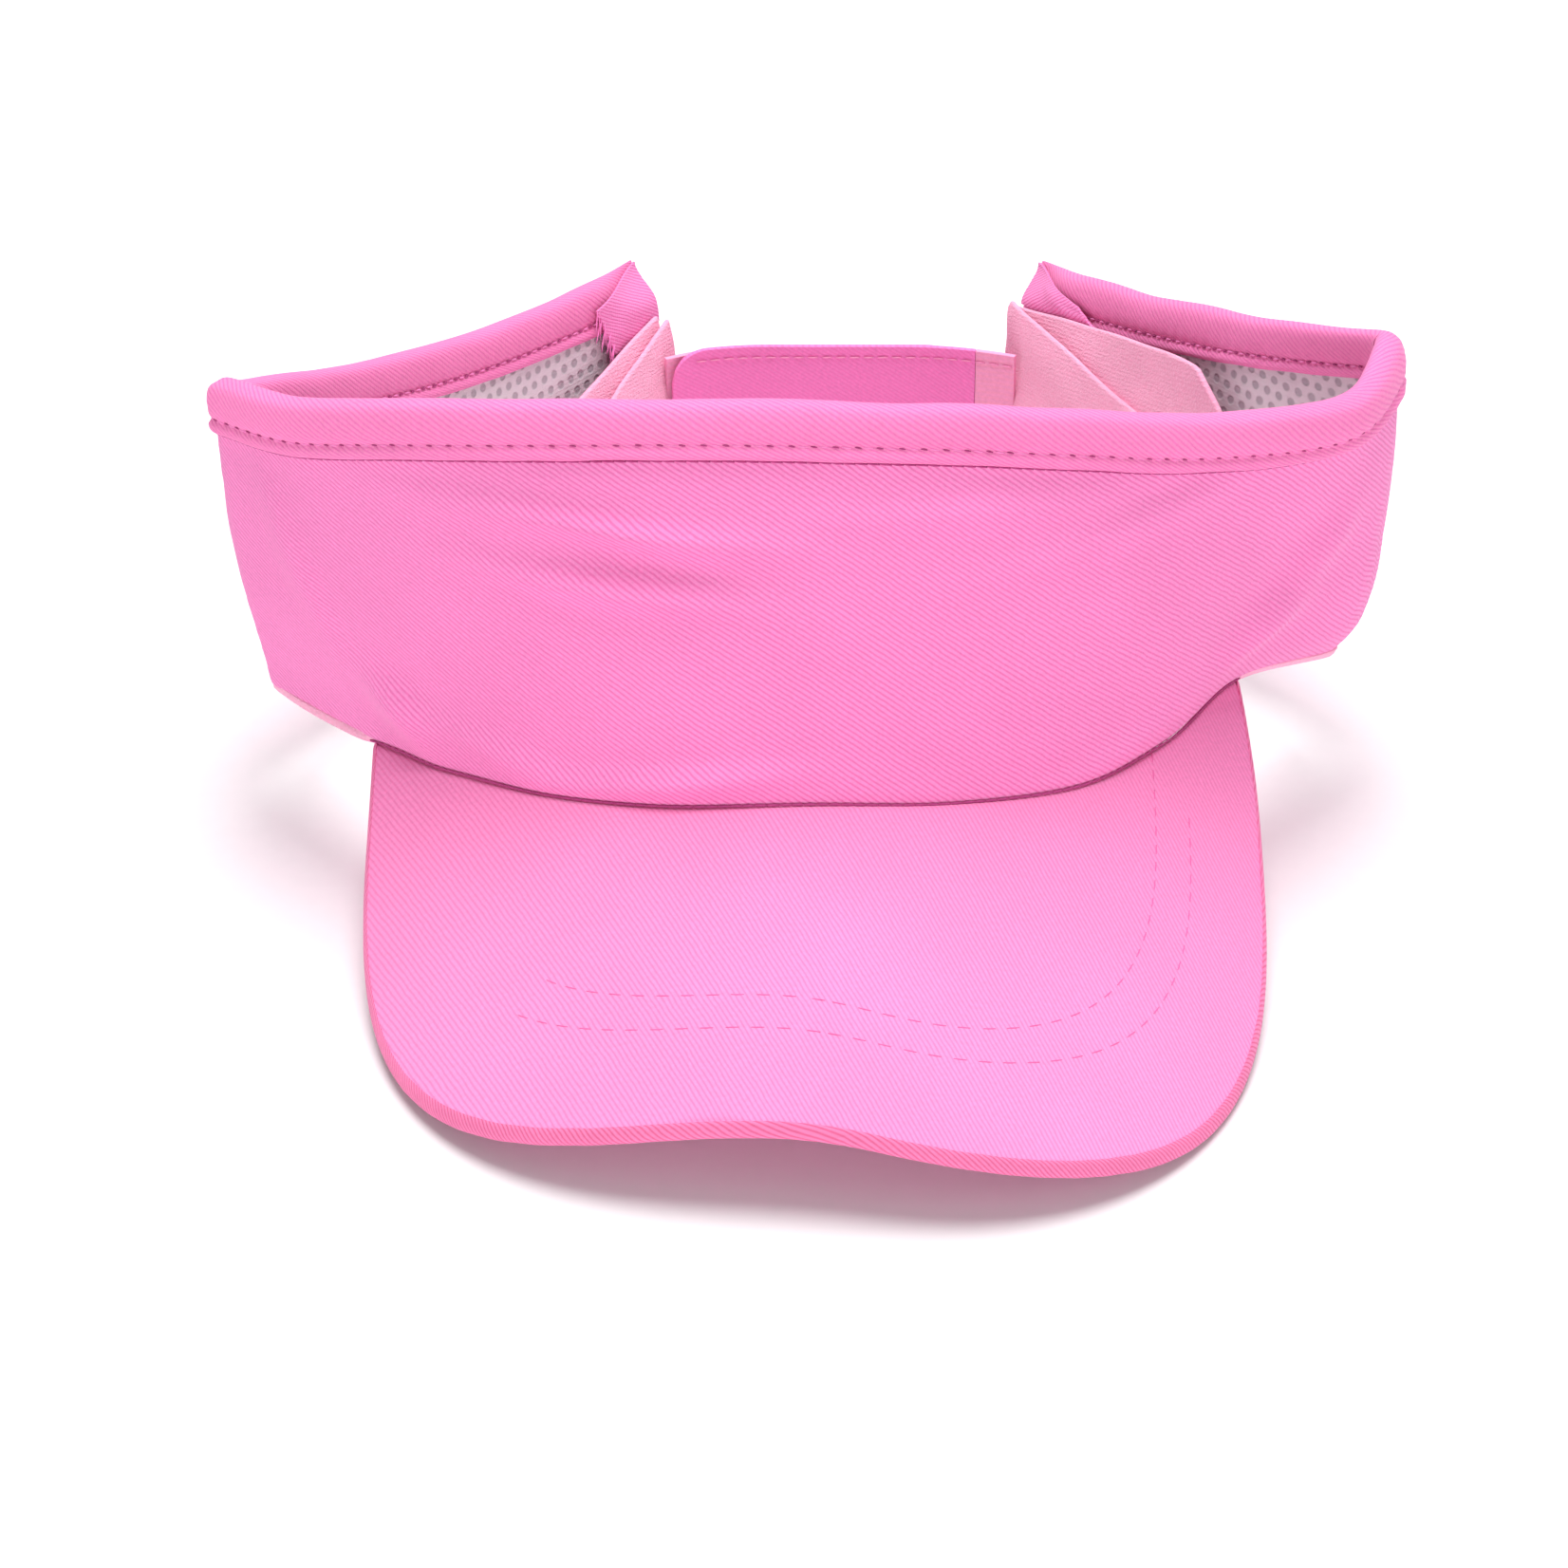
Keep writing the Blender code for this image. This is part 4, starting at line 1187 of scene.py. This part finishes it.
class VISOR_OT_sweatband(bpy.types.Operator):
    """Build the sweatband and its folded ends"""
    bl_idname = "visor.sweatband"
    bl_label = "Sweatband"

    def execute(self, context):
        sizes = context.scene.visor_sizes

        def curl(distance, rise):
            share = abs(distance) / HALF_FRONT
            bare = smooth(0.70, 0.82, share) * (1.0 - smooth(1.05, 1.25, share))
            near = min(max(1.0 - rise / 0.0034, 0.0), 1.0)
            wander = 0.0004 * noise.noise(Vector((distance * 90.0, 0.0, 8.0)))
            lift = 0.0011 * near - 0.0005 * near * (1.0 - near)
            return -bare * (0.0040 + wander) * near ** 1.6, bare * lift
        low = -0.0014
        short = 0.10
        for part in ("front", "left", "right"):
            near, far = part_span(part)
            near += short * WING_LENGTH[part] if part == "left" else 0.0
            far -= short * WING_LENGTH[part] if part == "right" else 0.0

            def wavy(distance, rise, up):
                more = curl(distance, rise)
                wave = 0.0005 * noise.noise(Vector((distance * 45.0, rise * 60.0, 4.0)))
                return more[0] + 0.00035 + wave, more[1] + 0.5 * wave * up
            piece = crown_layer("sweatband_cloth_" + part, finish("terry"), part, BAND_DEPTH, BAND_WALL,
                                low, height_at(0.5 * (near + far)) - BAND_HEIGHT,
                                (150, 26) if part == "front" else (70, 26), wavy, (near, far), BAND_EDGE)
            dress(("sweatband_" + part,), (far - near, BAND_HEIGHT - low))
            settle(piece, part)
        for side, name, node, corners, depth, *shape in FOLDED_ENDS:
            piece = folded_end(name, finish("terry"), side, corners, depth, sizes.fold, shape)
            width, length, area = cut_size(side, corners)
            dress((node,), (width, length))
            settle(piece, side)
        return {"FINISHED"}


# Folded sweatband ends: side, name, node, corners as share and up (rear low, rear top, front top,
# front low), depth, how far the front edge stands out, hump of the top edge and bulge of the front edge as
# shares, and a seed for the waves.
FOLDED_ENDS = (
    ("left", "sweatband_fold_left", "sweatband_patch_left",
     ((1.012, 0.03), (0.982, 0.765), (0.700, 0.500), (0.660, 0.05)), 0.0050, 0.0008, 0.010, 0.0, 2.0),
    ("left", "sweatband_loose_left", "sweatband_flap_left",
     ((1.036, 0.03), (0.990, 0.745), (0.800, 0.500), (0.770, 0.05)), 0.0067, 0.0012, 0.0, 0.0, 3.0),
    ("right", "sweatband_fold_right", "sweatband_patch_right",
     ((1.000, 0.03), (0.992, 0.812), (0.405, 0.800), (0.290, 0.05)), 0.0050, 0.0008, 0.032, -0.07, 5.0),
    ("right", "sweatband_loose_right", "sweatband_flap_right",
     ((1.030, 0.03), (0.976, 0.835), (0.470, 0.560), (0.450, 0.05)), 0.0064, 0.0014, -0.035, 0.0, 7.0),
)


def patch_spot(corners, across, up):
    """Share and up on a four-cornered patch of a wing."""
    rear_low, rear_top, front_top, front_low = (Vector(c) for c in corners)
    return mix(mix(front_low, rear_low, across), mix(front_top, rear_top, across), up)


def cut_size(side, corners):
    """Width, length and area of a four-cornered patch of a wing."""
    flat = [wing_spot(side, share, up, 0.005) for share, up in corners]
    area = (flat[0] - flat[2]).cross(flat[1] - flat[3]).length / 2.0
    width = max((flat[0] - flat[3]).length, (flat[1] - flat[2]).length, LEAST_CUT)
    length = max((flat[0] - flat[1]).length, (flat[3] - flat[2]).length, LEAST_CUT)
    return width, length, min(max(area, 0.31 * width * length), width * length)


def folded_end(name, material, side, corners, depth, wall, shape):
    """A folded length of cloth over a wing's rear end, slack and a little puffed, loose at the front."""
    lift, hump, bulge, seed = shape

    def place(across, up):
        if side == "left":
            across = 1.0 - across
        spot = patch_spot(corners, across, up)
        spot.y += hump * math.sin(math.pi * across ** 0.6) * up
        spot.x += bulge * (1.0 - across) ** 2 * math.sin(math.pi * up ** 1.5)
        free = (1.0 - across) ** 2
        wave = noise.noise(Vector((across * 2.2, up * 2.6, seed)))
        pleat = math.exp(-((up - 0.45 - 0.5 * across) / 0.16) ** 2) * 0.0006
        inner = depth + lift * free * (0.6 + 0.4 * up) + 0.0004 + 0.0006 * wave + pleat
        inner += 0.0006 * math.sin(math.pi * across) * math.sin(math.pi * up)
        edge = 0.010 * noise.noise(Vector((across * 4.0, up * 4.0, seed + 9.0)))
        thread = (spot.x * WING_LENGTH[side], spot.y * height_at(HALF_FRONT))
        return wing_spot(side, spot.x + edge, spot.y + edge * 0.8, inner), thread
    return cloth_piece(name, material, place, 40, 28, wall, BAND_EDGE)


# Section of the binding from its outer lower edge over the top to its inner lower edge: depth under the
# crown's face, and rise above the crown's top edge, in millimetres.
BINDING_SECTION = (
    (-0.20, -9.0), (-0.85, -9.05), (-1.22, -8.5), (-1.12, -7.6), (-0.60, -6.7), (-1.02, -5.8),
    (-1.22, -4.5), (-1.20, -3.0), (-0.92, -1.5), (-0.30, -0.4), (0.80, 0.15), (2.00, 0.30),
    (3.25, -0.3), (3.85, -1.4), (4.05, -3.0), (4.00, -4.5), (3.75, -5.8), (3.35, -6.7),
    (3.80, -7.6), (3.92, -8.4), (3.50, -9.0),
)
BINDING_ROUND = 0.0245


def binding_fold(distance, around):
    """Depth and rise of the binding at a share of the way round its section, and how far round that is."""
    spot = spline([Vector((a, b, 0.0)) for a, b in BINDING_SECTION], around) * 0.001
    along = around * BINDING_ROUND
    wave = noise.noise(Vector((distance * 55.0, 0.0, 12.0)))
    slack = noise.noise(Vector((distance * 130.0, around * 5.0, 2.0)))
    top = math.sin(math.pi * around) ** 2
    pull = math.exp(-((spot.y - BINDING_STITCH_RISE) / 0.0016) ** 2)
    pucker = 0.00011 * math.cos(2.0 * math.pi * distance / BINDING_PITCH) * pull
    out = 1.0 if around < 0.5 else -1.0
    depth = spot.x - out * (pucker + 0.00013 * slack)
    rise = spot.y + 0.00065 * wave * top + 0.00016 * slack * (1.0 - top)
    return depth, rise, along


class VISOR_OT_binding(bpy.types.Operator):
    """Build the folded strip over the crown's top edge and its turned-in ends"""
    bl_idname = "visor.binding"
    bl_label = "Binding"

    def execute(self, context):
        sizes = context.scene.visor_sizes
        for part, columns in (("front", 420), ("left", 200), ("right", 200)):
            near, far = part_span(part)

            def place(across, around):
                distance = mix(near, far, across)
                depth, rise, along = binding_fold(distance, around)
                up = 1.0 + rise / height_at(distance)
                spot = crown_spot(distance, up, depth, part_wing(part), BINDING_MITRE)
                return spot, (distance, along)
            piece = cloth_piece("binding_cloth_" + part, finish("binding_twill"), place, columns, 60,
                                sizes.cloth)
            dress(("binding_" + part,), (far - near, BINDING_CUT))
            settle(piece, part)
        for side, corners, seed in (
                ("left", ((1.005, 0.718), (0.998, 1.002), (0.848, 0.905), (0.884, 0.670)), 4.0),
                ("right", ((0.990, 0.815), (0.998, 1.002), (0.813, 0.885), (0.755, 0.805)), 6.0)):
            def turned(across, up):
                if side == "left":
                    across = 1.0 - across
                spot = patch_spot(corners, across, up)
                puff = math.sin(math.pi * across) * math.sin(math.pi * up)
                wave = noise.noise(Vector((across * 3.0, up * 3.0, seed)))
                depth = 0.0046 + 0.0007 * puff + 0.0003 * wave
                return wing_spot(side, spot.x, spot.y, depth), (spot.x * WING_LENGTH[side], spot.y * 0.06)
            piece = cloth_piece("binding_tab_" + side, finish("crown_twill"), turned, 22, 22, sizes.cloth,
                                0.0002)
            width, length, area = cut_size(side, corners)
            dress(("binding_end_" + side,), (width, length))
            settle(piece, side)
        return {"FINISHED"}


def brim_sheet(name, material, depth, wall, face_up, inset, ends=0.0):
    """One layer of the brim, held back from its edge, and from the ends of its seam by a share of it."""
    def place(across, forward):
        across = mix(ends, 1.0 - ends, across)
        root = brim_root(across, -0.0006)
        edge = brim_outline(across, -inset)
        plan = mix(root, edge, forward)
        tuck = 0.0007 * (1.0 - smooth(0.0, 0.0016, (plan - root).length)) if face_up else 0.0
        away = (plan - BRIM_DENT).length / BRIM_DENT_REACH
        dent = 0.0007 * math.exp(-away * away) if face_up else 0.0
        return brim_spot(plan, depth + tuck + dent), (plan.x, plan.y)
    return cloth_piece(name, material, place, 150, 84, wall, 0.0, turned=face_up)


def brim_size():
    """Width, length and area of the brim's cut."""
    area = 0.0
    count = 60
    for index in range(count):
        a = brim_root(index / count, 0.0)
        b = brim_root((index + 1) / count, 0.0)
        c = brim_outline((index + 1) / count)
        d = brim_outline(index / count)
        for p, q in ((a, b), (b, c), (c, d), (d, a)):
            area += (p.x * q.y - q.x * p.y) / 2.0
    return 2.0 * BRIM_HALF_WIDTH + 0.010, BRIM_REACH + 0.030, abs(area) * 1.08


class VISOR_OT_brim(bpy.types.Operator):
    """Build the brim's board, its upper and lower cloth and its turned edge"""
    bl_idname = "visor.brim"
    bl_label = "Brim Cloth"

    def execute(self, context):
        sizes = context.scene.visor_sizes
        width, length, area = brim_size()
        core = brim_sheet("brim_core", finish("board"), 0.5 * (BRIM_THICKNESS - sizes.board), sizes.board,
                          True, 0.0010, 0.018)
        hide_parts("brim_board")
        top = brim_sheet("brim_cloth_top", finish("brim_twill"), 0.0, sizes.cloth, True, 0.0001)
        dress(("brim_top_cloth",), (width, length))
        under = brim_sheet("brim_cloth_under", finish("brim_twill"), BRIM_THICKNESS - sizes.cloth,
                           sizes.cloth, False, 0.0002)
        under.modifiers["cloth thickness"].offset = 1.0
        dress(("brim_under_cloth",), (width, length))

        def rim(across, around):
            turn = math.pi * (around - 0.5)
            outset = -0.0001 + 0.0007 * math.cos(turn)
            plan = brim_outline(across, outset)
            along = across * RIM_LENGTH
            wave = 0.00012 * noise.noise(Vector((along * 160.0, 0.0, 3.0)))
            depth = 0.5 * BRIM_THICKNESS * (1.0 - math.sin(turn) * 1.05) - wave
            return brim_spot(plan, depth), (along, around * 0.0047)
        # The rim takes a darker, redder twill than the brim: painted shade of its upright face.
        edge = cloth_piece("brim_rim", finish("rim_twill"), rim, 260, 14, 0.0006)
        dress(("brim_edge",), (RIM_LENGTH, RIM_WIDTH))
        for piece in (core, top, under, edge):
            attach(piece, "front")
        return {"FINISHED"}


def tape(name, material, span, front, wall, margin, bend, round_end, ridge=0.0):
    """A length of tape whose front face is front metres behind the strap's middle plane."""
    middle = (STRAP_LOW_Z + STRAP_TOP_Z) / 2.0
    half = (STRAP_TOP_Z - STRAP_LOW_Z) / 2.0 - margin

    def place(across, up):
        x = mix(span[0], span[1], across)
        to_end = (x - span[0]) if round_end < 0 else (span[1] - x)
        drop = 0.0
        if round_end and to_end < FREE_END_RADIUS:
            drop = FREE_END_RADIUS - math.sqrt(FREE_END_RADIUS ** 2 - (FREE_END_RADIUS - to_end) ** 2)
        z = middle + (2.0 * up - 1.0) * (half - drop)
        from_top = STRAP_TOP_Z - z
        seam = ridge * math.exp(-((from_top - STRAP_ROW_DROP) / 0.0007) ** 2)
        wave = 0.0002 * noise.noise(Vector((x * 60.0, z * 50.0, 2.0)))
        y = STRAP_Y + front + seam + abs(wave) * (1.0 if ridge else 0.0) - strap_bend(x, bend)
        return Vector((x, y, z)) + FLOOR_SHIFT, (x, z)
    return cloth_piece(name, material, place, 96, 44, wall, 0.0002)


class VISOR_OT_strap(bpy.types.Operator):
    """Build the closing strap's tapes and its hook and loop patches"""
    bl_idname = "visor.strap"
    bl_label = "Closing Strap"

    def execute(self, context):
        sizes = context.scene.visor_sizes
        half = sizes.tape / 2.0
        high = STRAP_TOP_Z - STRAP_LOW_Z
        root = RIGHT_ROOT_X - RIGHT_TAB
        hook_end = OUTER_FREE_X - 0.0020
        loops = (INNER_FREE_X + 0.0020, root - 0.0020)
        for name, look, span, front, wall, margin, bend, end, ridge, slot, nodes, body in (
                ("strap_tape_right", "pale_tape", (root + 0.0001, RIGHT_ROOT_X + 0.0012), -half,
                 sizes.tape, 0.0, INNER_BEND, 0, 0.0002, "pale_tape", ("strap_tab_right",), "inner_strap"),
                ("strap_tape_inner", "strap_tape", (INNER_FREE_X, root), -half,
                 sizes.tape, 0.0, INNER_BEND, -1, 0.0002, "strap_pink", ("strap_inner",), "inner_strap"),
                ("strap_loops", "loop_pile", loops, LOOP_BACK - sizes.patch / 2.0,
                 sizes.patch, 0.0020, INNER_BEND, 0, 0.0, "strap_pink", ("loop_patch",), "inner_strap"),
                ("strap_hooks", "hook_pile", (hook_end - 0.0240, hook_end), 0.0022 - sizes.patch / 2.0,
                 sizes.patch, 0.0038, OUTER_BEND, 0, 0.0, "hook_nylon", ("hook_patch",), "outer_end"),
                ("strap_tape_outer", "pale_tape", (LEFT_ROOT_X, OUTER_FREE_X), OUTER_BACK - half,
                 sizes.tape, OUTER_MARGIN, OUTER_BEND, 1, 0.0, "pale_tape",
                 ("strap_outer_base", "strap_outer_end"), None)):
            piece = tape(name, finish(look), span, front, wall, margin, bend, end, ridge)
            width = span[1] - span[0]
            length = high - 2.0 * margin
            dress(nodes, (max(width, LEAST_CUT), length))
            if body:
                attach(piece, body)
            else:
                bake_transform(piece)
        return {"FINISHED"}


def brim_row(share, side_inset, front_inset):
    """A line in plan that keeps inside the brim's edge, by more at the front than at the sides."""
    plan = brim_outline(share)
    angle = math.pi * min(max((share - BRIM_SIDE_SHARE) / (1.0 - 2.0 * BRIM_SIDE_SHARE), 0.0), 1.0)
    across = (plan.x - BRIM_MID_X) / BRIM_HALF_WIDTH
    plan.x = BRIM_MID_X + (BRIM_HALF_WIDTH - side_inset) * across
    plan.y += front_inset * max(math.sin(angle), 0.0) ** (2.0 / BRIM_POWER)
    return plan


def even_spots(line, pitch, outward):
    """Stitch spots at even spacing along line(share), and the last one short of its end."""
    count = 900
    spots = []
    gone = 0.0
    before = line(0.0)
    for index in range(1, count + 1):
        spot = line(index / count)
        gone += (spot - before).length
        if gone >= pitch * (len(spots) + 0.5):
            spots.append((spot, spot - before, outward(spot)))
        before = spot
    return spots


def stitch_at(place, distance):
    """One stitch spot at a distance round the crown."""
    spot, outward = place(distance)
    ahead, _outward = place(distance + 0.0005)
    return spot, ahead - spot, outward


def sew(name, look, spots, size, tilt=0.0):
    """A row of stitches in its finish. Size is their length, width and height, and tilt is in
    degrees."""
    row = stitch_piece(name, finish(look), spots, *size, math.radians(tilt))
    return row


class VISOR_OT_stitches(bpy.types.Operator):
    """Sew the rows of stitches, with dark beads of painted shade in their holes, in the ditch under the
    binding and along the brim's seam
    """
    bl_idname = "visor.stitches"
    bl_label = "Stitches"

    def execute(self, context):
        sizes = context.scene.visor_sizes
        pitch = sizes.stitch_pitch
        for part in ("front", "left", "right"):
            near, far = part_span(part)

            def outer(distance):
                up = 1.0 + BINDING_STITCH_RISE / height_at(distance)
                return crown_spot(distance, up, -0.00062), face_point(distance, up)[1]

            def ditch(distance):
                up = 1.0 + DITCH_RISE / height_at(distance)
                return crown_spot(distance, up, -0.00035), face_point(distance, up)[1]
            count = round((far - near) / pitch)
            first = round(near / pitch)
            # Dark beads between the stitches: painted shade of the needle holes.
            sunk = [stitch_at(outer, (first + i + 0.5) * pitch) for i in range(count)]
            raised = [stitch_at(outer, (first + i) * pitch) for i in range(1, count)]
            settle(sew("binding_holes_" + part, "dark_thread", sunk,
                       (0.0012, 0.00030, 0.00024), -8.0), part)
            settle(sew("binding_thread_" + part, "thread", raised,
                       (0.0019, 0.00036, 0.00040), -8.0), part)
            # A row of dark beads in the ditch under the binding: painted shade of the ditch on its stitches.
            count = round((far - near) / DITCH_PITCH)
            spots = [stitch_at(ditch, near + (i + 0.5) * DITCH_PITCH) for i in range(count)]
            settle(sew("binding_ditch_" + part, "dark_thread", spots,
                       (0.0025, 0.00042, 0.00040), -5.0), part)
        for side in ("left", "right"):
            near, far = part_span(side)

            def inner(distance):
                up = 1.0 + BINDING_STITCH_RISE / height_at(distance)
                return crown_spot(distance, up, 0.0036, 1), -face_point(distance, up)[1]
            count = round((far - near - 0.008) / pitch)
            sign = sign_of(side)
            start = HALF_FRONT + 0.005
            # Dark beads between the stitches: painted shade of the needle holes.
            sunk = [stitch_at(inner, sign * (start + (i + 0.5) * pitch)) for i in range(count)]
            raised = [stitch_at(inner, sign * (start + i * pitch)) for i in range(1, count)]
            settle(sew("lining_holes_" + side, "dark_thread", sunk,
                       (0.0015, 0.00042, 0.00036)), side)
            settle(sew("lining_thread_" + side, "thread", raised,
                       (0.0019, 0.00036, 0.00044)), side)

        def upright(_spot):
            return Vector((0.0, 0.0, 1.0))
        spots = []
        for side_inset, front_inset, last in BRIM_ROWS:
            def line(share):
                along = mix(BRIM_ROWS_FROM, last, share)
                return brim_spot(brim_row(along, side_inset, front_inset), -0.00002)
            spots += even_spots(line, sizes.brim_pitch, upright)
        row = sew("brim_stitches", "brim_thread", spots, (0.0024, 0.00024, 0.00016))
        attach(row, "front")

        def on_strap(share):
            x = mix(INNER_FREE_X + 0.004, RIGHT_ROOT_X, share)
            y = STRAP_Y - sizes.tape / 2.0 - 0.00002 - strap_bend(x, INNER_BEND)
            return Vector((x, y, STRAP_TOP_Z - STRAP_ROW_DROP)) + FLOOR_SHIFT

        def forward(_spot):
            return Vector((0.0, -1.0, 0.0))
        row = sew("strap_stitches", "pale_thread", even_spots(on_strap, STRAP_PITCH, forward),
                  (0.0022, 0.00034, 0.00040))
        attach(row, "inner_strap")

        def seam(distance):
            low = crown_spot(distance, 0.0, 0.0)
            return low + Vector((0.0, 0.0, 0.00005)), face_point(distance, 0.0)[1]
        span = HALF_FRONT * 0.80
        count = round(2.0 * span / SEAM_PITCH)
        spots = [stitch_at(seam, -span + (i + 0.5) * SEAM_PITCH) for i in range(count)]
        # Dark beads along the brim's seam: painted shade of the seam.
        row = sew("brim_seam_thread", "dark_thread", spots, (0.0026, 0.00050, 0.00034))
        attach(row, "front")
        frayed = []
        for index in range(FRAYED_ENDS):
            along = index / (FRAYED_ENDS - 1.0)
            share = mix(0.846, 0.880, along) - 0.004 * math.sin(index * 2.4)
            up = mix(0.885, 0.700, along)
            spot = wing_spot("left", share, up, 0.0052 + 0.0003 * math.sin(index * 1.9))
            aim = wing_spot("left", share - 0.012 + 0.012 * math.sin(index * 1.7), up - 0.10, 0.0054) - spot
            frayed.append((spot + aim * 0.3, aim, Vector((0.4, -0.9, 0.2))))
        settle(sew("frayed_threads_left", "strap_thread", frayed,
                   (0.0046, 0.00026, 0.00026)), "left")
        return {"FINISHED"}


class VISOR_OT_frame(bpy.types.Operator):
    """Give the frame's own nodes that stay in the visor their cloth"""
    bl_idname = "visor.frame"
    bl_label = "Hidden Parts"

    def execute(self, context):
        for node in ("strap_anchor_left", "strap_anchor_right"):
            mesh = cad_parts[node].data
            mesh.materials.clear()
            mesh.materials.append(finish("seam_cloth"))
        return {"FINISHED"}


class VISOR_OT_stage(bpy.types.Operator):
    """Set the table, the studio light and the camera"""
    bl_idname = "visor.stage"
    bl_label = "Stage"

    def execute(self, context):
        ground = bmesh.new()
        bmesh.ops.create_grid(ground, x_segments=2, y_segments=2, size=4.0)
        table = made_piece("table_top", ground, finish("floor"))
        table.location.z = -0.0002
        for name, place, aim, size, power, tint in (
                ("top_light", (0.03, 0.20, 1.10), (0.0, -0.02, 0.0), 0.95, 17.0, (1.0, 0.99, 1.0)),
                ("front_light", (0.0, -1.35, 0.15), (0.0, 0.0, 0.03), 0.60, 8.0, (1.0, 0.98, 0.99)),
                ("right_light", (0.90, -0.55, 0.45), (0.0, 0.05, 0.03), 0.60, 1.5, (1.0, 1.0, 1.0)),
                ("left_light", (-1.10, -0.60, 0.20), (0.0, 0.0, 0.03), 0.60, 2.0, (1.0, 0.98, 0.99))):
            lamp = bpy.data.lights.new(name, "AREA")
            lamp.shape = "DISK"
            lamp.size = size
            lamp.energy = power
            lamp.color = tint
            holder = bpy.data.objects.new(name, lamp)
            holder.location = place
            holder.rotation_euler = (Vector(aim) - Vector(place)).to_track_quat("-Z", "Y").to_euler()
            context.scene.collection.objects.link(holder)
        world = bpy.data.worlds.new("studio")
        world.use_nodes = True
        sky = world.node_tree.nodes["Background"]
        sky.label = "white studio walls"
        sky.inputs["Color"].default_value = (1.0, 1.0, 1.0, 1.0)
        sky.inputs["Strength"].default_value = 0.33
        context.scene.world = world
        context.scene.view_settings.view_transform = "Standard"
        lens = bpy.data.cameras.new("camera")
        lens.lens = 127.3
        lens.sensor_width = 36.0
        camera = bpy.data.objects.new("camera", lens)
        camera.location = Vector((0.0, -0.7967, 0.5174)) + FLOOR_SHIFT
        camera.rotation_euler = (math.radians(57.0), 0.0, 0.0)
        context.scene.collection.objects.link(camera)
        context.scene.camera = camera
        return {"FINISHED"}


class VISOR_PT_panel(bpy.types.Panel):
    """Sun visor builders"""
    bl_label = "Sun Visor"
    bl_idname = "VISOR_PT_panel"
    bl_space_type = "VIEW_3D"
    bl_region_type = "UI"
    bl_category = "Sun Visor"

    def draw(self, context):
        for operator in BUILDERS:
            self.layout.operator(operator.bl_idname)


BUILDERS = (VISOR_OT_crown, VISOR_OT_mesh, VISOR_OT_sweatband, VISOR_OT_binding, VISOR_OT_brim,
            VISOR_OT_strap, VISOR_OT_stitches, VISOR_OT_frame, VISOR_OT_stage)
CLASSES = (VisorSizes, VisorLooks, *BUILDERS, VISOR_PT_panel)


def register():
    """Add the classes and their settings."""
    for item in CLASSES:
        bpy.utils.register_class(item)
    bpy.types.Scene.visor_sizes = bpy.props.PointerProperty(type=VisorSizes)
    bpy.types.Scene.visor_looks = bpy.props.PointerProperty(type=VisorLooks)


def unregister():
    """Take the classes and their settings away."""
    del bpy.types.Scene.visor_looks
    del bpy.types.Scene.visor_sizes
    for item in reversed(CLASSES):
        bpy.utils.unregister_class(item)


def main():
    """Build the visor."""
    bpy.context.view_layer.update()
    register()
    bpy.ops.visor.crown()
    bpy.ops.visor.mesh()
    bpy.ops.visor.sweatband()
    bpy.ops.visor.binding()
    bpy.ops.visor.brim()
    bpy.ops.visor.strap()
    bpy.ops.visor.stitches()
    bpy.ops.visor.frame()
    bpy.ops.visor.stage()


if __name__ == "__main__":
    main()
